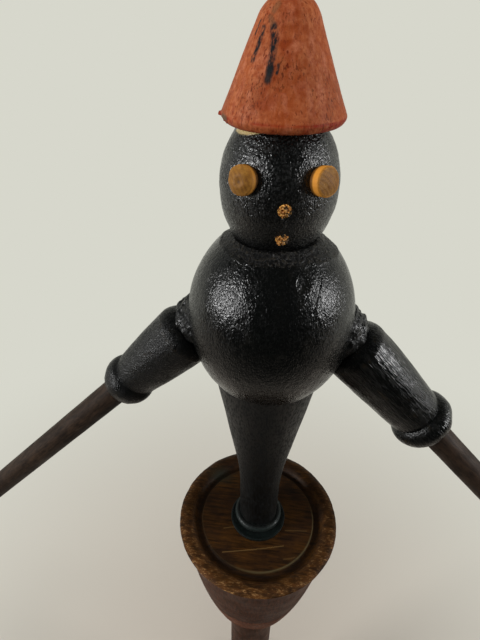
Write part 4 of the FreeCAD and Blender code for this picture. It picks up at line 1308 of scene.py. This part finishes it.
class TOY_OT_make_platform(bpy.types.Operator):
    """Turns the worn platform and the black ring that the foot stands in"""
    bl_idname = "toy.make_platform"
    bl_label = "Make Platform"

    def platform(self, props):
        edge, under, cup = widest("platform"), low("platform"), widest("pivot_cup")
        bell = egg_at(*bell_curve(bpy.context.scene.toy_stand), under)
        rim_start = props.face + props.groove
        shape = Outline(cup, under, 0.25 * MM).line(bell, under, True)
        shape.line(edge - props.undercut, FACE - props.edge_drop)
        shape.line(edge, FACE + props.edge_rise)
        shape.bow(rim_start, FACE - props.drop, props.crown)
        shape.bow(props.face, FACE, -props.hollow).line(cup, FACE)
        disc = Turned(shape, spokes(560, [(0, 60, 0.6)]))
        x, y = disc.points[:, 0] / MM, disc.points[:, 1] / MM
        top = smooth(disc.height, FACE - 2.1 * MM, FACE - 1.9 * MM)
        top = top * smooth(disc.radius, cup + 0.2 * MM, cup + 0.6 * MM)
        rim = smooth(disc.radius, rim_start, rim_start + 1.5 * MM) * top
        disc.roughen(top, 8 * MM, 91, 0.05 * MM)
        disc.roughen(top, 1.2 * MM, 92, 0.012 * MM, (7, 1, 1))
        disc.roughen(rim, 2.0 * MM, 93, 0.025 * MM)
        scratch = np.zeros(len(x))
        for *spots, width, strength in PLATFORM_SCRATCHES:
            for (ax, ay), (bx, by) in zip(spots[:-1], spots[1:]):
                away = off_line(x - ax, y - ay, bx - ax, by - ay)
                scratch = np.maximum(scratch, strength * (1 - smooth(away, width * 0.3, width)))
        scratch *= top * (disc.radius < props.face)
        arris = ridge(disc.radius - props.face, 0.2 * MM) * top
        disc.rise += (arris * 0.03 - scratch * 0.05) * MM
        front, left, right = (np.cos(disc.angle - bearing(middle)) for middle in (20, -70, 48))
        front = smooth(front, -0.5, 0.7)
        outer = smooth(disc.radius, edge - 3.2 * MM, edge - 0.6 * MM)
        worn_rim = rim * (0.12 + 0.68 * front + 0.4 * smooth(left, 0.2, 0.9)) * (0.5 + 0.5 * outer)
        lower_edge = ridge(disc.height - FACE + props.edge_drop, 0.3 * MM) * (0.5 + 0.5 * front)
        disc.marks = {
            "worn": np.clip(worn_rim + lower_edge, 0, 1),
            # The pale arris is burnished wood, with a painted highlight that grows towards the right.
            "arris": arris * (0.08 + 0.6 * smooth(right, 0.2, 0.95)),
            "scratch": scratch,
            # Painted shade: a near-black band laid evenly in the groove round the face.
            "grime": ridge(disc.radius - props.face - props.groove * 0.45, 1.1 * MM) * top * 0.8,
            "stain": np.exp(-(((x + 16) / 4) ** 2 + ((y - 15) / 3) ** 2)),
        }
        return disc.mesh("platform")

    def ring(self, props):
        radius, top, cup = widest("foot_ring"), high("foot_ring"), widest("pivot_cup")
        lip, soft, floor = radius - props.lip, 0.15 * MM, FACE + props.ring_floor
        shape = Outline(cup, FACE, 0.2 * MM).line(radius, FACE).line(radius, top - soft)
        shape.about(radius - soft, top - soft, 90).line(lip + soft, top)
        shape.about(lip + soft, top - soft, 90).line(lip, floor).line(cup, floor)
        ring = Turned(shape, spokes(240))
        ring.roughen(smooth(ring.height, floor, top), 1.6 * MM, 95, 0.05 * MM)
        return ring.mesh("foot_ring")

    def execute(self, context):
        props = context.scene.toy_platform
        fitted("worn_platform", self.platform(props), platform_wood(props), "worn_platform_wood",
               "platform", body="stand")
        fitted("painted_foot_ring", self.ring(props), ring_paint(), "black_painted_ring",
               "foot_ring", body="stand")
        return {"FINISHED"}


class TOY_OT_finish_inside(bpy.types.Operator):
    """Gives the dowels, weights and pivot, which are hidden inside, their wood and metal"""
    bl_idname = "toy.finish_inside"
    bl_label = "Finish Hidden Pieces"

    def execute(self, context):
        for finish, nodes in (
                (dowel_wood(), ("leg_dowel", "neck_dowel", "hat_dowel")),
                (turned_metal("bright_turned_steel", "#b4b6b8", 0.25),
                 ("foot_socket", "pivot_ball", "slug_left", "slug_right")),
                (turned_metal("turned_brass", "#c9a24a", 0.3), ("pivot_cup",))):
            for node in nodes:
                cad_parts[node].data.materials.clear()
                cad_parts[node].data.materials.append(finish)
        return {"FINISHED"}


# Stage
def stage_finish(props):
    """Matt paper sweep, pale to the eye, and dim in front of the stand where only lacquer sees it."""
    finish = Finish("pale_paper_sweep", 0.9, 0.2, place=("TexCoord", "Object"))
    tree = finish.tree
    parts = add(tree, "ShaderNodeSeparateXYZ", links={"Vector": finish.place})
    flat = add(tree, "ShaderNodeVectorMath", TIMES, {0: finish.place, 1: (1, 1, 0)})
    away = add(tree, "ShaderNodeVectorMath", {"operation": "LENGTH"}, {0: flat})
    seen = add(tree, "ShaderNodeLightPath")
    unseen = add(tree, "ShaderNodeMath", MINUS, {0: 1.0, 1: (seen, "Is Camera Ray")})
    front = add(tree, "ShaderNodeMapRange", SOFT_STEP, {
        "Value": (parts, "Y"), "From Min": 0.1, "From Max": -0.4})
    finish.paint(finish.layered(props.near_colour, (props.front_colour, front, unseen)))
    glossy = add(tree, "ShaderNodeMath", {"operation": "MAXIMUM"}, {
        0: (seen, "Is Glossy Ray"), 1: (seen, "Is Transmission Ray")})
    behind = add(tree, "ShaderNodeMapRange", SOFT_STEP, {
        "Value": (parts, "Y"), "From Min": -0.02, "From Max": 0.36})
    mirrored = add(tree, "ShaderNodeMath", TIMES, {0: glossy, 1: behind})
    far = add(tree, "ShaderNodeMapRange", SOFT_STEP, {
        "Value": (away, "Value"), "From Min": 0.0, "From Max": 0.46})
    share = add(tree, "ShaderNodeMath", TIMES_PLUS, {
        0: (seen, "Is Camera Ray"), 1: far, 2: mirrored})
    glow = add(tree, "ShaderNodeEmission", links={"Color": tuple(props.far_colour)})
    mixed = add(tree, "ShaderNodeMixShader", links={"Fac": share, 1: finish.shader, 2: glow})
    tree.links.new(mixed.outputs[0], tree.nodes["Material Output"].inputs["Surface"])
    return finish.material


def room_light(props):
    """Daylight low at the sides and behind, dim in front and overhead, so that black stays black."""
    world = bpy.data.worlds.new("room")
    world.use_nodes = True
    tree = world.node_tree
    tree.nodes.clear()
    way = add(tree, "ShaderNodeTexCoord")
    parts = add(tree, "ShaderNodeSeparateXYZ", links={"Vector": (way, "Generated")})
    behind = add(tree, "ShaderNodeMapRange", SOFT_STEP, {
        "Value": (parts, "Y"), "From Min": -0.7, "From Max": 0.2})
    level = add(tree, "ShaderNodeMapRange", SOFT_STEP, {
        "Value": (parts, "Z"), "From Min": 0.8, "From Max": 0.25})
    share = add(tree, "ShaderNodeMath", TIMES, {0: behind, 1: level})
    strength = add(tree, "ShaderNodeMapRange", links={"Value": share, "To Min": 0.05, "To Max": 0.5})
    seen = add(tree, "ShaderNodeLightPath")
    strength = add(tree, "ShaderNodeMapRange", links={
        "Value": (seen, "Is Camera Ray"), "To Min": strength, "To Max": 1.0})
    colour = add(tree, "ShaderNodeMix", COLOUR, {
        "Factor": (seen, "Is Camera Ray"), "A": shade("#e6e8e4"), "B": tuple(props.far_colour)})
    light = add(tree, "ShaderNodeBackground", links={"Color": colour, "Strength": strength})
    add(tree, "ShaderNodeOutputWorld", links={"Surface": light})
    return world


def window(name, turn, rise, distance, width, height, power):
    """Soft light like a window, aimed at the figure. Turn is from +Y towards +X."""
    light = bpy.data.lights.new(name, "AREA")
    light.shape, light.size, light.size_y, light.energy = "RECTANGLE", width, height, power
    lamp = bpy.data.objects.new(name, light)
    across, up = math.radians(turn), math.radians(rise)
    way = Vector((math.sin(across) * math.cos(up), math.cos(across) * math.cos(up), math.sin(up)))
    lamp.location = Vector((0, 0, LIGHT_AIM)) + way * distance
    lamp.rotation_euler = way.to_track_quat("Z", "Y").to_euler()
    lamp.visible_camera = False
    bpy.context.scene.collection.objects.link(lamp)
    return lamp


class TOY_OT_make_stage(bpy.types.Operator):
    """Lays the pale floor, and sets up the lights and the camera"""
    bl_idname = "toy.make_stage"
    bl_label = "Make Stage"

    def sweep(self, props):
        floor_start, floor_end, bend, top, half, steps = -2.5, 1.1, 0.6, 1.3, 3.0, 16
        shape = [(floor_start, 0.0), (floor_end, 0.0)]
        for i in range(1, steps + 1):
            turn = math.pi / 2 * i / steps
            shape.append((floor_end + bend * math.sin(turn), bend - bend * math.cos(turn)))
        shape.append((floor_end + bend, top))
        points = [(x, y, z) for y, z in shape for x in (-half, half)]
        faces = [(2 * i, 2 * i + 1, 2 * i + 3, 2 * i + 2) for i in range(len(shape) - 1)]
        mesh = bpy.data.meshes.new("paper_sweep")
        mesh.from_pydata(points, [], faces)
        return finished("paper_sweep", mesh, stage_finish(props))

    def camera(self, props):
        data = bpy.data.cameras.new("camera")
        data.lens, data.sensor_width, data.clip_start = props.lens, 36, 5 * MM
        camera = bpy.data.objects.new("camera", data)
        camera.location = (props.camera_x, props.camera_y, props.camera_z)
        aim = Matrix.Rotation(props.heading, 3, "Z") @ Matrix.Rotation(props.tilt, 3, "X")
        camera.rotation_euler = (aim @ Matrix.Rotation(props.roll, 3, "Z")).to_euler()
        bpy.context.scene.collection.objects.link(camera)
        bpy.context.scene.camera = camera

    def execute(self, context):
        props = context.scene.toy_stage
        self.sweep(props)
        window("left_window", turn=-118, rise=13, distance=0.95, width=0.26, height=0.3, power=6.8)
        window("right_window", turn=96, rise=10.5, distance=1.05, width=0.26, height=0.34, power=6.2)
        overhead = window(
            "overhead", turn=180, rise=78, distance=1.3, width=0.7, height=0.7, power=8.5)
        overhead.visible_glossy = False
        context.scene.world = room_light(props)
        context.scene.view_settings.view_transform = "Standard"
        self.camera(props)
        return {"FINISHED"}


# Add-on
class TOY_PT_panel(bpy.types.Panel):
    bl_label = "Balancing Toy"
    bl_idname = "TOY_PT_panel"
    bl_space_type = "VIEW_3D"
    bl_region_type = "UI"
    bl_category = "Balancing Toy"

    def draw(self, context):
        for operator in OPERATORS:
            self.layout.operator(operator.bl_idname)
        for name, group in SETTINGS.items():
            box = self.layout.box()
            for prop in group.__annotations__:
                box.prop(getattr(context.scene, name), prop)


SETTINGS = {
    "toy_stage": StageSettings,
    "toy_stand": StandSettings,
    "toy_platform": PlatformSettings,
    "toy_leg": LegSettings,
    "toy_torso": TorsoSettings,
    "toy_head": HeadSettings,
    "toy_hat": HatSettings,
    "toy_arms": ArmSettings,
}
OPERATORS = (
    TOY_OT_make_stage,
    TOY_OT_make_stand,
    TOY_OT_make_platform,
    TOY_OT_make_leg,
    TOY_OT_make_torso,
    TOY_OT_make_head,
    TOY_OT_make_face,
    TOY_OT_make_hat,
    TOY_OT_make_arms,
    TOY_OT_finish_inside,
)


def register():
    for name, group in SETTINGS.items():
        bpy.utils.register_class(group)
        setattr(bpy.types.Scene, name, bpy.props.PointerProperty(type=group))
    for part in OPERATORS + (TOY_PT_panel,):
        bpy.utils.register_class(part)


def unregister():
    for part in reversed(OPERATORS + (TOY_PT_panel,)):
        bpy.utils.unregister_class(part)
    for name, group in reversed(SETTINGS.items()):
        delattr(bpy.types.Scene, name)
        bpy.utils.unregister_class(group)


def main():
    register()
    for operator in OPERATORS:
        group, name = operator.bl_idname.split(".")
        getattr(getattr(bpy.ops, group), name)()


if __name__ == "__main__":
    main()
